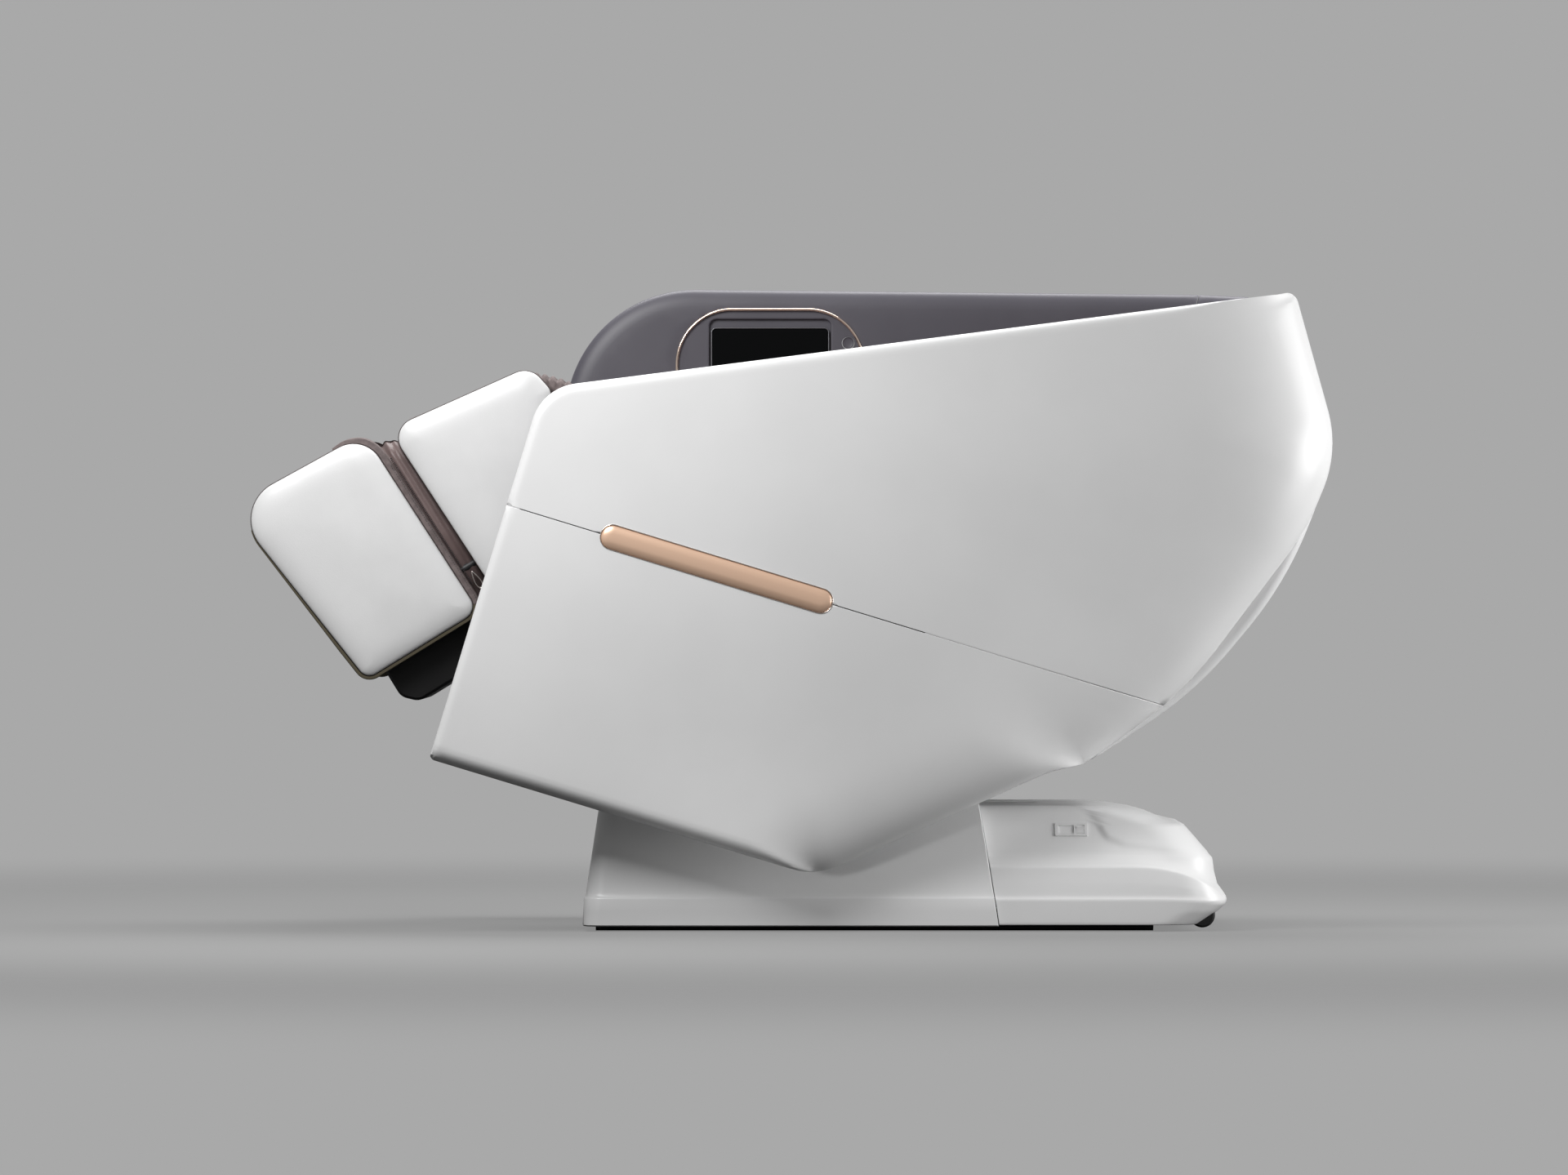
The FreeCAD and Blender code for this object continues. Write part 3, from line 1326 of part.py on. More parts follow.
def back_padding():
    """Back pad, head pillow and the side bolsters with raised shoulders."""
    half = size.pad_half
    outline = [
        Corner(size.pad_low, -half, size.pad_corner), Corner(size.pad_high, -half, size.pad_corner),
        Corner(size.pad_high, half, size.pad_corner), Corner(size.pad_low, half, size.pad_corner)]
    levels = cushion_levels(-size.pad_thick, 0.0, 5.0, size.pad_crown)
    solid("back_pad", loft(outline, levels, above), BACK)
    half = size.pillow_half
    outline = [
        Corner(size.pillow_low, -half, 30.0), Corner(size.pillow_high, -half, 30.0),
        Corner(size.pillow_high, half, 30.0), Corner(size.pillow_low, half, 30.0)]
    levels = cushion_levels(size.panel_gap, size.pillow_thick, 8.0, 26.0)
    solid("head_pillow", loft(outline, levels, above), BACK)
    low, high = size.bolster_low, size.bolster_high
    base, rise = -size.pad_thick, size.bolster_rise
    nose = high - size.bolster_nose
    crest = nose - size.bolster_crest
    outline = [
        Corner(low, base, 4.0), Corner(high, base, 4.0), Corner(high, rise - size.bolster_nose_drop, 34.0),
        Corner(nose, rise, 40.0), Corner(crest, rise, 60.0),
        Corner(crest - size.bolster_slope, -size.bolster_sink, 80.0), Corner(low, -size.bolster_sink, 16.0)]
    levels = side_levels(size.bolster_inner, size.bolster_outer, 10.0)
    bolster = loft(outline, levels, across)
    for side in SIDES:
        solid(f"{side}_shoulder_bolster", mirrored(bolster, side), BACK)


# Massage carriage

def track_rails():
    """Channel rails either side of the carriage, open toward it."""
    rails = []
    start = "back_low + back_rib"
    length = "back_high - back_low - 2 * back_rib"
    for side in SIDES:
        outer = box(
            BACK, start, inward(side, "track_y", "track_width"), "track_n - track_depth / 2",
            length, "track_width", "track_depth")
        inner = box(
            BACK, f"{start} - 1", inward(side, "track_y - 1", "track_width + 1 - track_wall"),
            "track_n - track_depth / 2 + track_wall", f"{length} + 2", "track_width + 1 - track_wall",
            "track_depth - 2 * track_wall")
        rails.append(cut(outer, [inner]))
    add("track_rails", fuse(rails))


def carriage():
    """Chassis with guide shoes in the rails, its motor, and the kneading shaft."""
    half_length = "carriage_length / 2"
    floor = box(
        BACK, f"carriage_t - {half_length}", "0 - carriage_half", "carriage_floor - carriage_wall",
        "carriage_length", "2 * carriage_half", "carriage_wall")
    walls = [
        box(BACK, f"carriage_t - {half_length}",
            inward(side, "carriage_half - carriage_wall", "carriage_wall"), "carriage_floor",
            "carriage_length", "carriage_wall", "carriage_top - carriage_floor")
        for side in SIDES]
    bore = rod(
        BACK, "carriage_t", "0 - 2 * carriage_half", "knead_n", "knead_radius + running_gap",
        "4 * carriage_half")
    reach = "track_y + track_width - track_wall - slide_gap - carriage_half"
    shoes = []
    for side in SIDES:
        for way in ("-", "+"):
            shoes.append(box(
                BACK, f"carriage_t {way} shoe_offset - shoe_length / 2",
                inward(side, "carriage_half", reach),
                "track_n - track_depth / 2 + track_wall + slide_gap", "shoe_length", reach,
                "track_depth - 2 * (track_wall + slide_gap)"))
    add("carriage_frame", cut(fuse([floor] + walls + shoes), [bore]))
    gearbox = box(
        BACK, "carriage_t - gearbox_length / 2", "0 - gearbox_half",
        "carriage_floor - carriage_wall - gearbox_depth", "gearbox_length", "2 * gearbox_half",
        "gearbox_depth")
    motor = rod(
        BACK, "carriage_t", "gearbox_half", "carriage_floor - carriage_wall - gearbox_depth / 2",
        "gearbox_depth / 2 - 1", "gearbox_length")
    add("carriage_motor", fuse([gearbox, motor]))
    shaft = [rod(
        BACK, "carriage_t", "0 - carriage_half - 5", "knead_n", "knead_radius", "2 * carriage_half + 10")]
    for side in SIDES:
        shaft.append(rod(
            BACK, "carriage_t", inward(side, "massage_y - 4", "massage_width + 8"), "knead_n", "hub_radius",
            "massage_width + 8"))
    add("kneading_shaft", fuse(shaft))


def massage_arms():
    """Rocking arms on the kneading shaft, each with two free rollers."""
    reach, lift, ear = "massage_reach", "massage_lift", "(hub_radius + 8)"
    tip = "(roller_axle + 5)"
    outline = [
        (f"0 - {ear}", f"0 - {ear} / 2"), (f"0 - {ear} / 2", f"0 - {ear}"), (f"{ear} / 2", f"0 - {ear}"),
        (ear, f"0 - {ear} / 2"), (f"{reach} + {tip}", f"{lift} - {tip}"),
        (f"{reach} + {tip}", f"{lift} + {tip}"), (f"{reach} - {tip}", f"{lift} + {tip}"),
        (f"{ear} / 2", ear), (f"0 - {ear} / 2", ear),
        (f"{tip} - {reach}", f"{lift} + {tip}"), (f"0 - {reach} - {tip}", f"{lift} + {tip}"),
        (f"0 - {reach} - {tip}", f"{lift} - {tip}")]
    centre = nested(BACK, "carriage_t", "knead_n")
    for side in SIDES:
        y = inward(side, "massage_y", "massage_width")
        arm = plate(
            centre, outline, y, "massage_width", [("0", "0", "hub_radius + running_gap")])
        axle_y = inward(side, "massage_y + massage_width / 2", "massage_width / 2 + roller_width + 3")
        axles = [
            rod(centre, f"{way} massage_reach", axle_y, lift, "roller_axle",
                "massage_width / 2 + roller_width + 3")
            for way in ("0 -", "0 +")]
        add(f"{side}_massage_arm", fuse([arm] + axles))
        for end, way in (("lower", "0 -"), ("upper", "0 +")):
            hole, rim, wide = "roller_axle + running_gap", "roller_radius", "roller_width"
            profile = [
                (hole, "0"), (f"{rim} - 8", "0"), (rim, "8"), (rim, f"{wide} - 8"), (f"{rim} - 8", wide),
                (hole, wide)]
            start = inward(side, "massage_y + massage_width + 1", "roller_width")
            add(f"{side}_{end}_roller", turned(centre, profile, f"{way} massage_reach", start, lift))


# Calf unit

def calf_outline(lift=0.0):
    """Side view of the calf unit in the leg frame, cut away round the knee."""
    return [
        Corner(size.calf_end, size.leg_low, 20.0),
        Corner(size.calf_cut_low, size.leg_low, 10.0),
        Corner(size.calf_cut_high_x, size.calf_cut_high_z, 20.0),
        Corner(size.calf_rear_x, size.calf_rear_z, 20.0),
        Corner(size.calf_shoulder_x, size.calf_shoulder_z + lift, 44.0),
        Corner(size.calf_top_end, size.calf_top + lift, 30.0)]


def leg_pads(name, outline):
    """White side pads: drawn in at the seams and crowned on the outer face."""
    low, high = size.leg_pad_y, size.leg_pad_y + size.leg_pad_thick
    levels = ((low, 1.5), (low + 3.0, 0), (high - 10.0, 0), (high - 3.5, 3.5), (high, 12.0))
    pad = loft(outline, levels, across)
    for side in SIDES:
        solid(f"{side}_{name}_pad", mirrored(pad, side), LEG)


def calf_wells():
    """Padded block with a round-bottomed channel for each calf."""
    outline = [
        Corner(size.calf_end, size.well_floor, 4.0),
        Corner(size.calf_cut_high_x - 12.0, size.well_floor, 10.0),
        Corner(size.calf_rear_x, size.calf_rear_z, 20.0),
        Corner(size.calf_shoulder_x, size.calf_shoulder_z + size.well_rise, 44.0),
        Corner(size.calf_top_end, size.calf_top + size.well_rise, 30.0)]
    half = size.leg_pad_y - size.panel_gap
    shape = loft(outline, ((-half, 0), (half, 0)), across)
    for side in SIDES.values():
        middle = side * size.calf_well_y
        shape = shape.cut(channel(middle, size.calf_well_width, size.calf_well_bottom, -999.0, 999.0))
    solid("calf_wells", shape, LEG)


def channel(middle, width, bottom, start, end):
    """A trough with a half-round floor that runs along the leg."""
    radius = width / 2
    rise = 999.0
    floor = Part.makeCylinder(radius, end - start, V(start, middle, bottom + radius), V(1, 0, 0))
    room = Part.makeBox(end - start, width, rise, V(start, middle - radius, bottom + radius))
    return floor.fuse(room)


def calf_frame():
    """Knee shaft, side plates, cross plate and the tubes that the foot rods slide in."""
    low = "leg_low + calf_box_wall"
    outline = [
        ("calf_end", low), ("calf_box_rear", low), ("ear_radius", "0 - ear_radius"),
        ("ear_radius", "ear_radius"), ("0 - ear_radius", "well_floor - panel_gap"),
        ("calf_end", "well_floor - panel_gap")]
    pieces = [rod(
        LEG, "0", "0 - plate_y - plate_thick - 6", "0", "pivot_radius", "2 * (plate_y + plate_thick + 6)")]
    holes = []
    for side in SIDES:
        pieces.append(plate(
            LEG, outline, inward(side, "calf_plate_y", "calf_plate_thick"), "calf_plate_thick"))
        middle = f"{SIDES[side]} * rod_y"
        pieces.append(rod(LEG, "calf_end", middle, "rod_z", "slide_tube_radius", "0 - calf_end - 16", "x"))
        web = inward(side, "calf_plate_y + calf_plate_thick", "rod_y - calf_plate_y - calf_plate_thick")
        pieces.append(box(
            LEG, "calf_end", web, "rod_z - 3", "0 - calf_end - 16",
            "rod_y - calf_plate_y - calf_plate_thick", "6"))
        holes.append(rod(
            LEG, "calf_end - 1", middle, "rod_z", "slide_rod_radius + running_gap", "2 - calf_end", "x"))
    pieces.append(box(
        LEG, "calf_end", "0 - calf_plate_y", "well_floor - panel_gap - 4", "0 - calf_end - ear_radius",
        "2 * calf_plate_y", "4"))
    add("calf_frame", cut(fuse(pieces), holes))


def calf_housing():
    """Black tray under the calf frame."""
    half = "(calf_plate_y - panel_gap)"
    wall = "calf_box_wall"
    height = "(well_floor - leg_low - 6)"
    outer = box(
        LEG, "calf_end + 1", f"0 - {half}", "leg_low", "calf_box_rear - calf_end", f"2 * {half}", height)
    inner = box(
        LEG, f"calf_end + 1 + {wall}", f"{wall} - {half}", f"leg_low + {wall}", "calf_box_rear - calf_end",
        f"2 * ({half} - {wall})", height)
    add("calf_housing", cut(outer, [inner]))


# Foot unit

def foot_outline():
    return [
        Corner(size.foot_end, size.leg_low, 18.0), Corner(size.foot_start, size.leg_low, 20.0),
        Corner(size.foot_start_top, size.foot_top, 45.0),
        Corner(size.foot_end_top, size.foot_toe_top, 60.0)]


def foot_wells():
    """Padded block with a boot for each foot and a slot for the sole roller."""
    half = size.leg_pad_y - size.panel_gap
    low = size.leg_low + size.foot_plate_thick + size.panel_gap
    outline = [
        Corner(size.foot_end + 1.0, low, 8.0), Corner(size.foot_start, low, 2.0),
        Corner(size.foot_start_top, size.foot_top + size.well_rise, 45.0),
        Corner(size.foot_end_top, size.foot_toe_top + size.well_rise, 60.0)]
    shape = loft(outline, ((-half, 0), (half, 0)), across)
    boot = [
        Corner(size.sole_x, size.foot_heel, 24.0), Corner(99.0, size.foot_heel, 1.0),
        Corner(99.0, 2 * size.foot_top, 1.0),
        Corner(2 * size.sole_top_x - size.sole_x, 2 * size.foot_top, 1.0)]
    for side in SIDES.values():
        middle = side * size.calf_well_y
        start, end = middle - size.foot_well_width / 2, middle + size.foot_well_width / 2
        shape = shape.cut(loft(boot, ((start, 0), (end, 0)), across))
        width = size.holder_width + 2 * size.slide_gap
        height = size.rod_z + width / 2 - low
        shape = shape.cut(Part.makeBox(
            99.0, width, height,
            V(size.foot_start - size.holder_length - size.slide_gap, side * size.rod_y - width / 2, low)))
    roller = Part.makeCylinder(
        size.sole_roller_radius + 3.0, 2 * size.sole_roller_half + 6.0,
        V(size.sole_roller_x, -size.sole_roller_half - 3.0, size.sole_roller_z), V(0, 1, 0))
    axle = Part.makeCylinder(
        size.roller_axle + size.running_gap, 2 * half, V(size.sole_roller_x, -half, size.sole_roller_z),
        V(0, 1, 0))
    solid("foot_wells", shape.cut(roller).cut(axle), LEG)


def foot_frame():
    """Steel plate under the foot unit, with two rods that slide in the calf frame."""
    half = "(leg_pad_y - panel_gap)"
    length = "foot_start - foot_end - 30"
    deck = box(
        LEG, "foot_end + 25", f"0 - {half}", "leg_low", length, f"2 * {half}", "foot_plate_thick")
    blocks = []
    for side in SIDES:
        y = inward(side, "rod_y - holder_width / 2", "holder_width")
        blocks.append(box(
            LEG, "foot_start - holder_length", y, "leg_low", "holder_length - slide_gap", "holder_width",
            "rod_z - leg_low + holder_width / 2"))
    rods = [
        rod(LEG, "foot_start - holder_length", f"{SIDES[side]} * rod_y", "rod_z", "slide_rod_radius",
            "slide_rod_end - foot_start + holder_length", "x")
        for side in SIDES]
    add("foot_frame", fuse([deck] + blocks + rods))


def foot_housing():
    """Black housing under the foot unit with the roller drive inside."""
    low = size.leg_low - size.foot_box_depth
    top = size.leg_low - size.panel_gap
    round_by = size.foot_box_corner
    outline = [
        Corner(size.foot_box_front, low + 20.0, round_by),
        Corner(size.foot_box_front + 20.0, low, round_by),
        Corner(size.foot_box_rear - 30.0, low, round_by), Corner(size.foot_box_rear, top, 3.0),
        Corner(size.foot_box_front, top, 3.0)]
    half = size.foot_box_half
    outer = loft(outline, ((-half, 4.0), (8.0 - half, 0), (half - 8.0, 0), (half, 4.0)), across)
    wall = size.foot_box_wall
    hollow = [wall, wall, wall, -wall, wall]
    inner = loft(outline, ((wall - half, hollow), (half - wall, hollow)), across)
    solid("foot_housing", outer.cut(inner), LEG)


def sole_roller():
    """Shaft with ribbed drums that press the soles."""
    drums = [
        rod(LEG, "sole_roller_x", f"{SIDES[side]} * calf_well_y - foot_well_width / 2 + 3", "sole_roller_z",
            "sole_roller_radius", "foot_well_width - 6")
        for side in SIDES]
    shaft = rod(
        LEG, "sole_roller_x", "0 - leg_pad_y + 2", "sole_roller_z", "roller_axle", "2 * leg_pad_y - 4")
    add("sole_roller", fuse(drums + [shaft]))


base_frame()
floor_strips()
base_front_cover()
base_rear_cover()
power_inlet()
rocker_switch()
transport_wheels()
tray_boxes()
ram("tilt_ram", TILT_RAM, "tilt_ram_y", "tilt_body_length",
    distance(nested(WORLD, "tilt_tail_x", "tilt_tail_z"), nested(POD, "tilt_pin_x", "tilt_pin_z")))
ram("recline_ram", RECLINE_RAM, "recline_ram_y", "recline_body_length",
    distance(nested(POD, "recline_tail_x", "recline_tail_z"), nested(BACK, "recline_pin_t", "recline_pin_n")))
tilt_shaft()
seat_frame()
side_shells()
trim_bars()
left_liner()
control_wing()
right_head_liner()
screen_ring()
screen_unit()
front_apron()
legrest_gearmotor()
seat_cushion()
arm_pads()
back_frame()
back_cover()
back_padding()
track_rails()
carriage()
massage_arms()
leg_pads("calf", calf_outline())
calf_wells()
calf_frame()
calf_housing()
leg_pads("foot", foot_outline())
foot_wells()
foot_frame()
foot_housing()
sole_roller()

doc.recompute()
for item in doc.Objects:
    if "Invalid" in item.State or "Error" in item.State:
        raise RuntimeError(f"{item.Label} did not build")
for item in parts:
    if item.Shape.isNull() or not item.Shape.isValid():
        raise RuntimeError(f"{item.Label} has a bad shape")

os.makedirs("parts", exist_ok=True)
for item in parts:
    item.Shape.exportStep(f"parts/{item.Label}.step")
print(len(parts), "parts")
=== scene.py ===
import json
import math

import bmesh
import bpy
import numpy
from mathutils import Matrix, Vector, geometry
from mathutils.bvhtree import BVHTree

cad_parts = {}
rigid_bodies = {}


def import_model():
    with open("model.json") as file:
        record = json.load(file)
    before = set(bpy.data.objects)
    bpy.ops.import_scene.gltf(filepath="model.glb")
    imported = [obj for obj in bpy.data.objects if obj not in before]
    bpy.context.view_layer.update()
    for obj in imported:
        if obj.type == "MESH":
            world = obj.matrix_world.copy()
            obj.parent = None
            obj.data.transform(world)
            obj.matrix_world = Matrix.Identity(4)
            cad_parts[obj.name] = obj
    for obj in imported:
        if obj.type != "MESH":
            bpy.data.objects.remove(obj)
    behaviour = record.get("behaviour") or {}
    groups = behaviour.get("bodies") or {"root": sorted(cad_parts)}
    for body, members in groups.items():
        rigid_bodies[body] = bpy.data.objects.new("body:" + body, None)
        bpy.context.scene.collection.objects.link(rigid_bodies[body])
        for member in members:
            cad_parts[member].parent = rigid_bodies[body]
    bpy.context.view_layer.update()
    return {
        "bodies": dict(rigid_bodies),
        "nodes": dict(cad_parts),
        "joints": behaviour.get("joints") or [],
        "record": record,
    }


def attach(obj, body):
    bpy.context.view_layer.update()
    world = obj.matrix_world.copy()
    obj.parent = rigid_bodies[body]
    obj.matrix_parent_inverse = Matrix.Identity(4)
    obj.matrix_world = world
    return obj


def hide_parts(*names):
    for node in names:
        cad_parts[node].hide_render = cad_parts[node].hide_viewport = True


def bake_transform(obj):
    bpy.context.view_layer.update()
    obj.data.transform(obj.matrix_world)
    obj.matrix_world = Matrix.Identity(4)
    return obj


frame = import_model()
nodes = frame["nodes"]

# Studio: a grey floor that runs out into a backdrop of the same grey, a soft lamp at the
# upper left, two behind on the right, one overhead and two narrow spots for the base under
# the pod, all fitted to the photograph's brightness. The camera looks square at the side.


def paint(code):
    """The sRGB hex code of a finish as linear red, green and blue."""
    parts = [int(code[k:k + 2], 16) / 255 for k in (1, 3, 5)]
    return [part / 12.92 if part <= 0.04045 else ((part + 0.055) / 1.055) ** 2.4 for part in parts]


def put(tree, kind, sets=(), wires=(), **props):
    """Add a node with its properties, its socket values and the sockets wired into it."""
    node = tree.nodes.new(kind)
    for name, value in props.items():
        setattr(node, name, value)
    for socket, value in dict(sets).items():
        node.inputs[socket].default_value = value
    for socket, source in dict(wires).items():
        tree.links.new(source, node.inputs[socket])
    return node


BACKDROP_GREY = "#A9A9A9"

sky = bpy.data.worlds.new("studio_backdrop")
bpy.context.scene.world = sky
sky.use_nodes = True
tree = sky.node_tree
ray = put(tree, "ShaderNodeLightPath")
seen = put(tree, "ShaderNodeMath", operation="MAXIMUM",
           wires={0: ray.outputs["Is Camera Ray"], 1: ray.outputs["Is Transmission Ray"]})
seen = put(tree, "ShaderNodeMath", operation="MAXIMUM",
           wires={0: seen.outputs[0], 1: ray.outputs["Is Glossy Ray"]})
backdrop = put(tree, "ShaderNodeBackground", {"Color": (*paint(BACKDROP_GREY), 1), "Strength": 1.0})
glow = tree.nodes["Background"]
glow.inputs["Color"].default_value = (*paint("#FFFFFF"), 1)
glow.inputs["Strength"].default_value = 0.1
both = put(tree, "ShaderNodeMixShader",
           wires={0: seen.outputs[0], 1: glow.outputs[0], 2: backdrop.outputs[0]})
tree.links.new(both.outputs[0], tree.nodes["World Output"].inputs["Surface"])

bpy.ops.mesh.primitive_circle_add(vertices=96, radius=7.0, fill_type="NGON")
floor = bpy.context.object
floor.name = "studio_floor"
floor_grey = bpy.data.materials.new("matt_studio_floor")
floor_grey.use_nodes = True
tree = floor_grey.node_tree
surface = tree.nodes["Principled BSDF"]
# It throws little light back up, so that the chair stays darker toward its keel.
ray = put(tree, "ShaderNodeLightPath")
tone = put(tree, "ShaderNodeMix", {6: (*paint("#484848"), 1), 7: (*paint("#969696"), 1)},
           {0: ray.outputs["Is Camera Ray"]}, data_type="RGBA")
tree.links.new(tone.outputs[2], surface.inputs["Base Color"])
surface.inputs["Roughness"].default_value = 0.9
surface.inputs["Specular IOR Level"].default_value = 0.0
# The floor shows mostly its own even grey and only partly the light that falls on it, so
# that it meets the backdrop without a line and still holds the chair's soft shadow.
even = put(tree, "ShaderNodeEmission", {"Color": (*paint(BACKDROP_GREY), 1)})
part_even = put(tree, "ShaderNodeMath", {1: 0.6}, {0: ray.outputs["Is Camera Ray"]}, operation="MULTIPLY")
lit = put(tree, "ShaderNodeMixShader",
          wires={0: part_even.outputs[0], 1: surface.outputs[0], 2: even.outputs[0]})
place = put(tree, "ShaderNodeTexCoord")
reach = put(tree, "ShaderNodeVectorMath", operation="LENGTH", wires={0: place.outputs["Object"]})
fade = put(tree, "ShaderNodeMapRange", {1: 1.2, 2: 4.6}, {0: reach.outputs["Value"]},
           interpolation_type="SMOOTHERSTEP")
clear = put(tree, "ShaderNodeBsdfTransparent")
blended = put(tree, "ShaderNodeMixShader",
              wires={0: fade.outputs[0], 1: lit.outputs[0], 2: clear.outputs[0]})
tree.links.new(blended.outputs[0], tree.nodes["Material Output"].inputs["Surface"])
floor.data.materials.append(floor_grey)


def hung(name, kind, spot, aim, watts):
    """A lamp at a spot, turned toward its aim."""
    lamp = bpy.data.lights.new(name, kind)
    lamp.energy = watts
    holder = bpy.data.objects.new(name, lamp)
    bpy.context.scene.collection.objects.link(holder)
    holder.location = spot
    holder.rotation_euler = (Vector(aim) - Vector(spot)).to_track_quat("-Z", "Y").to_euler()
    return lamp


def soft_lamp(name, spot, aim, width, height, watts):
    """A rectangular lamp that lights one side broadly."""
    lamp = hung(name, "AREA", spot, aim, watts)
    lamp.shape = "RECTANGLE"
    lamp.size, lamp.size_y = width, height


def low_spot(name, spot, aim, cone, watts):
    """A narrow lamp aimed low, at the base."""
    lamp = hung(name, "SPOT", spot, aim, watts)
    lamp.spot_size, lamp.spot_blend = math.radians(cone), 0.9
    lamp.shadow_soft_size = 0.12


soft_lamp("key_lamp", (-1.05, -1.4, 1.6), (-0.55, -0.4, 0.65), 0.9, 0.9, 27.5)
soft_lamp("rear_lamp", (2.5, -0.35, 1.15), (0.4, 0.0, 0.5), 1.3, 1.3, 22)
soft_lamp("low_rear_lamp", (2.2, -0.8, 0.5), (0.45, -0.1, 0.4), 0.9, 0.8, 20)
soft_lamp("top_lamp", (-0.1, 0.7, 2.8), (-0.1, 0.0, 0.4), 2.4, 1.6, 80)
low_spot("tail_spot", (1.25, -1.75, 0.5), (0.2, -0.2, 0.18), 19, 22)
low_spot("base_spot", (-1.3, -2.1, 0.3), (-0.14, -0.3, 0.02), 16, 26)

NEAR_PLANE, CAMERA_AWAY = -0.4, 14.976
MIDDLE_X, MIDDLE_Z = -0.1824, 0.5094
camera = bpy.data.cameras.new("side_camera")
camera.lens, camera.sensor_width = 234.0, 36.0
camera.clip_end = 60.0
viewer = bpy.data.objects.new("side_camera", camera)
bpy.context.scene.collection.objects.link(viewer)
viewer.location = (MIDDLE_X, NEAR_PLANE - CAMERA_AWAY, MIDDLE_Z)
viewer.rotation_euler = (math.radians(90), 0, 0)
bpy.context.scene.camera = viewer
bpy.context.scene.view_settings.view_transform = "Standard"

# Base frame: rails, cross members and towers of welded steel tube, powder coated black,
# on black rubber strips that show as the thin dark line under the white covers. A turned
# steel shaft through the towers carries the pod.


def new_finish(name, code, roughness, **sockets):
    """A finish with its colour, gloss and other plain values on the shader's own sockets."""
    made = bpy.data.materials.new(name)
    made.use_nodes = True
    shader = made.node_tree.nodes["Principled BSDF"]
    shader.inputs["Base Color"].default_value = (*paint(code), 1)
    shader.inputs["Roughness"].default_value = roughness
    for socket, value in sockets.items():
        shader.inputs[socket.replace("_", " ")].default_value = value
    return made


def grained(made, size_mm, depth_mm, kind="ShaderNodeTexNoise", stretch=(1, 1, 1), output=0):
    """Raise a grain of a size in millimetres on a finish, from object coordinates."""
    tree = made.node_tree
    where = put(tree, "ShaderNodeTexCoord")
    sized = put(tree, "ShaderNodeMapping", {"Scale": stretch}, {"Vector": where.outputs["Object"]})
    grain = put(tree, kind, {"Scale": 1000.0 / size_mm}, {"Vector": sized.outputs[0]})
    bump = put(tree, "ShaderNodeBump", {"Distance": depth_mm / 1000.0}, {"Height": grain.outputs[output]})
    tree.links.new(bump.outputs[0], tree.nodes["Principled BSDF"].inputs["Normal"])
    return made


def mottled(made, size_mm, light, dark, low=0.35, high=0.65):
    """Vary a finish's colour softly between two shades over patches of a size in millimetres."""
    tree = made.node_tree
    where = put(tree, "ShaderNodeTexCoord")
    patch = put(tree, "ShaderNodeTexNoise", {"Scale": 1000.0 / size_mm, "Detail": 3.0},
                {"Vector": where.outputs["Object"]})
    share = put(tree, "ShaderNodeMapRange", {1: low, 2: high}, {0: patch.outputs[0]})
    shade = put(tree, "ShaderNodeMix", {6: (*paint(dark), 1), 7: (*paint(light), 1)},
                {0: share.outputs[0]}, data_type="RGBA")
    tree.links.new(shade.outputs[2], tree.nodes["Principled BSDF"].inputs["Base Color"])
    return made


def wear(finish, *names):
    """Give CAD nodes a finish."""
    for name in names:
        slots = nodes[name].data.materials
        slots.clear()
        slots.append(finish)


# Powder coat: baked pigment with a fine orange peel that softens every highlight.
powder_coat = grained(mottled(new_finish("black_powder_coat_on_steel", "#1C1C1E", 0.5), 60,
                              "#232325", "#18181A"), 0.9, 0.03)
wear(powder_coat, "base_frame", "seat_frame", "back_frame", "carriage_frame", "calf_frame", "foot_frame")
# Rubber: dull, almost no gloss, a little greyer in patches.
strip_rubber = grained(mottled(new_finish("black_floor_rubber", "#0E0E0F", 0.8), 25, "#181819", "#0B0B0C"),
                       0.5, 0.05)
wear(strip_rubber, "floor_strips")
# Turned steel: bright, with fine lines at right angles to the chair's width, which are
# rings on the shafts and only stand in for the turning on the rods.
turned_steel = grained(new_finish("turned_steel", "#A6A7A9", 0.28, Metallic=1.0), 6.0, 0.02,
                       stretch=(1, 30, 1))
wear(turned_steel, "tilt_shaft", "tilt_ram_rod", "recline_ram_rod", "kneading_shaft")

# Base covers: two moulded ABS covers painted satin white, the front one with a well for
# the pod's keel, the rear one humped over the electrics with a ledge that sweeps down.

# Painted ABS: satin paint over a smooth moulding, a soft highlight with a faint ripple.
white_paint = grained(mottled(new_finish("satin_white_paint_on_abs", "#EEEEEE", 0.36, Coat_Weight=0.15,
                                         Coat_Roughness=0.25), 180, "#F0F0F0", "#ECECEC"), 2.2, 0.004)
WALL = 3.0


def placed(x, z, lean):
    """A frame at x, z in millimetres, leaned about the chair's width."""
    return Matrix.Translation((x / 1000.0, 0, z / 1000.0)) @ Matrix.Rotation(math.radians(lean), 4, "Y")


floor_frame = Matrix.Identity(4)


def piece_from(name, points, faces, finish, frame=floor_frame, wall=0.0, crease=30.0):
    """A piece from points in a frame's millimetres, with smooth faces, sharp creases and a wall."""
    mesh = bpy.data.meshes.new(name)
    mesh.from_pydata([frame @ (Vector(point) / 1000.0) for point in points], [], faces)
    work = bmesh.new()
    work.from_mesh(mesh)
    bmesh.ops.remove_doubles(work, verts=work.verts, dist=1e-5)
    bmesh.ops.dissolve_degenerate(work, edges=work.edges, dist=1e-7)
    work.to_mesh(mesh)
    work.free()
    mesh.polygons.foreach_set("use_smooth", [True] * len(mesh.polygons))
    mesh.set_sharp_from_angle(angle=math.radians(crease))
    mesh.materials.append(finish)
    made = bpy.data.objects.new(name, mesh)
    bpy.context.scene.collection.objects.link(made)
    if wall:
        skin = made.modifiers.new("wall", "SOLIDIFY")
        skin.thickness, skin.offset = wall / 1000.0, -1.0
    return made


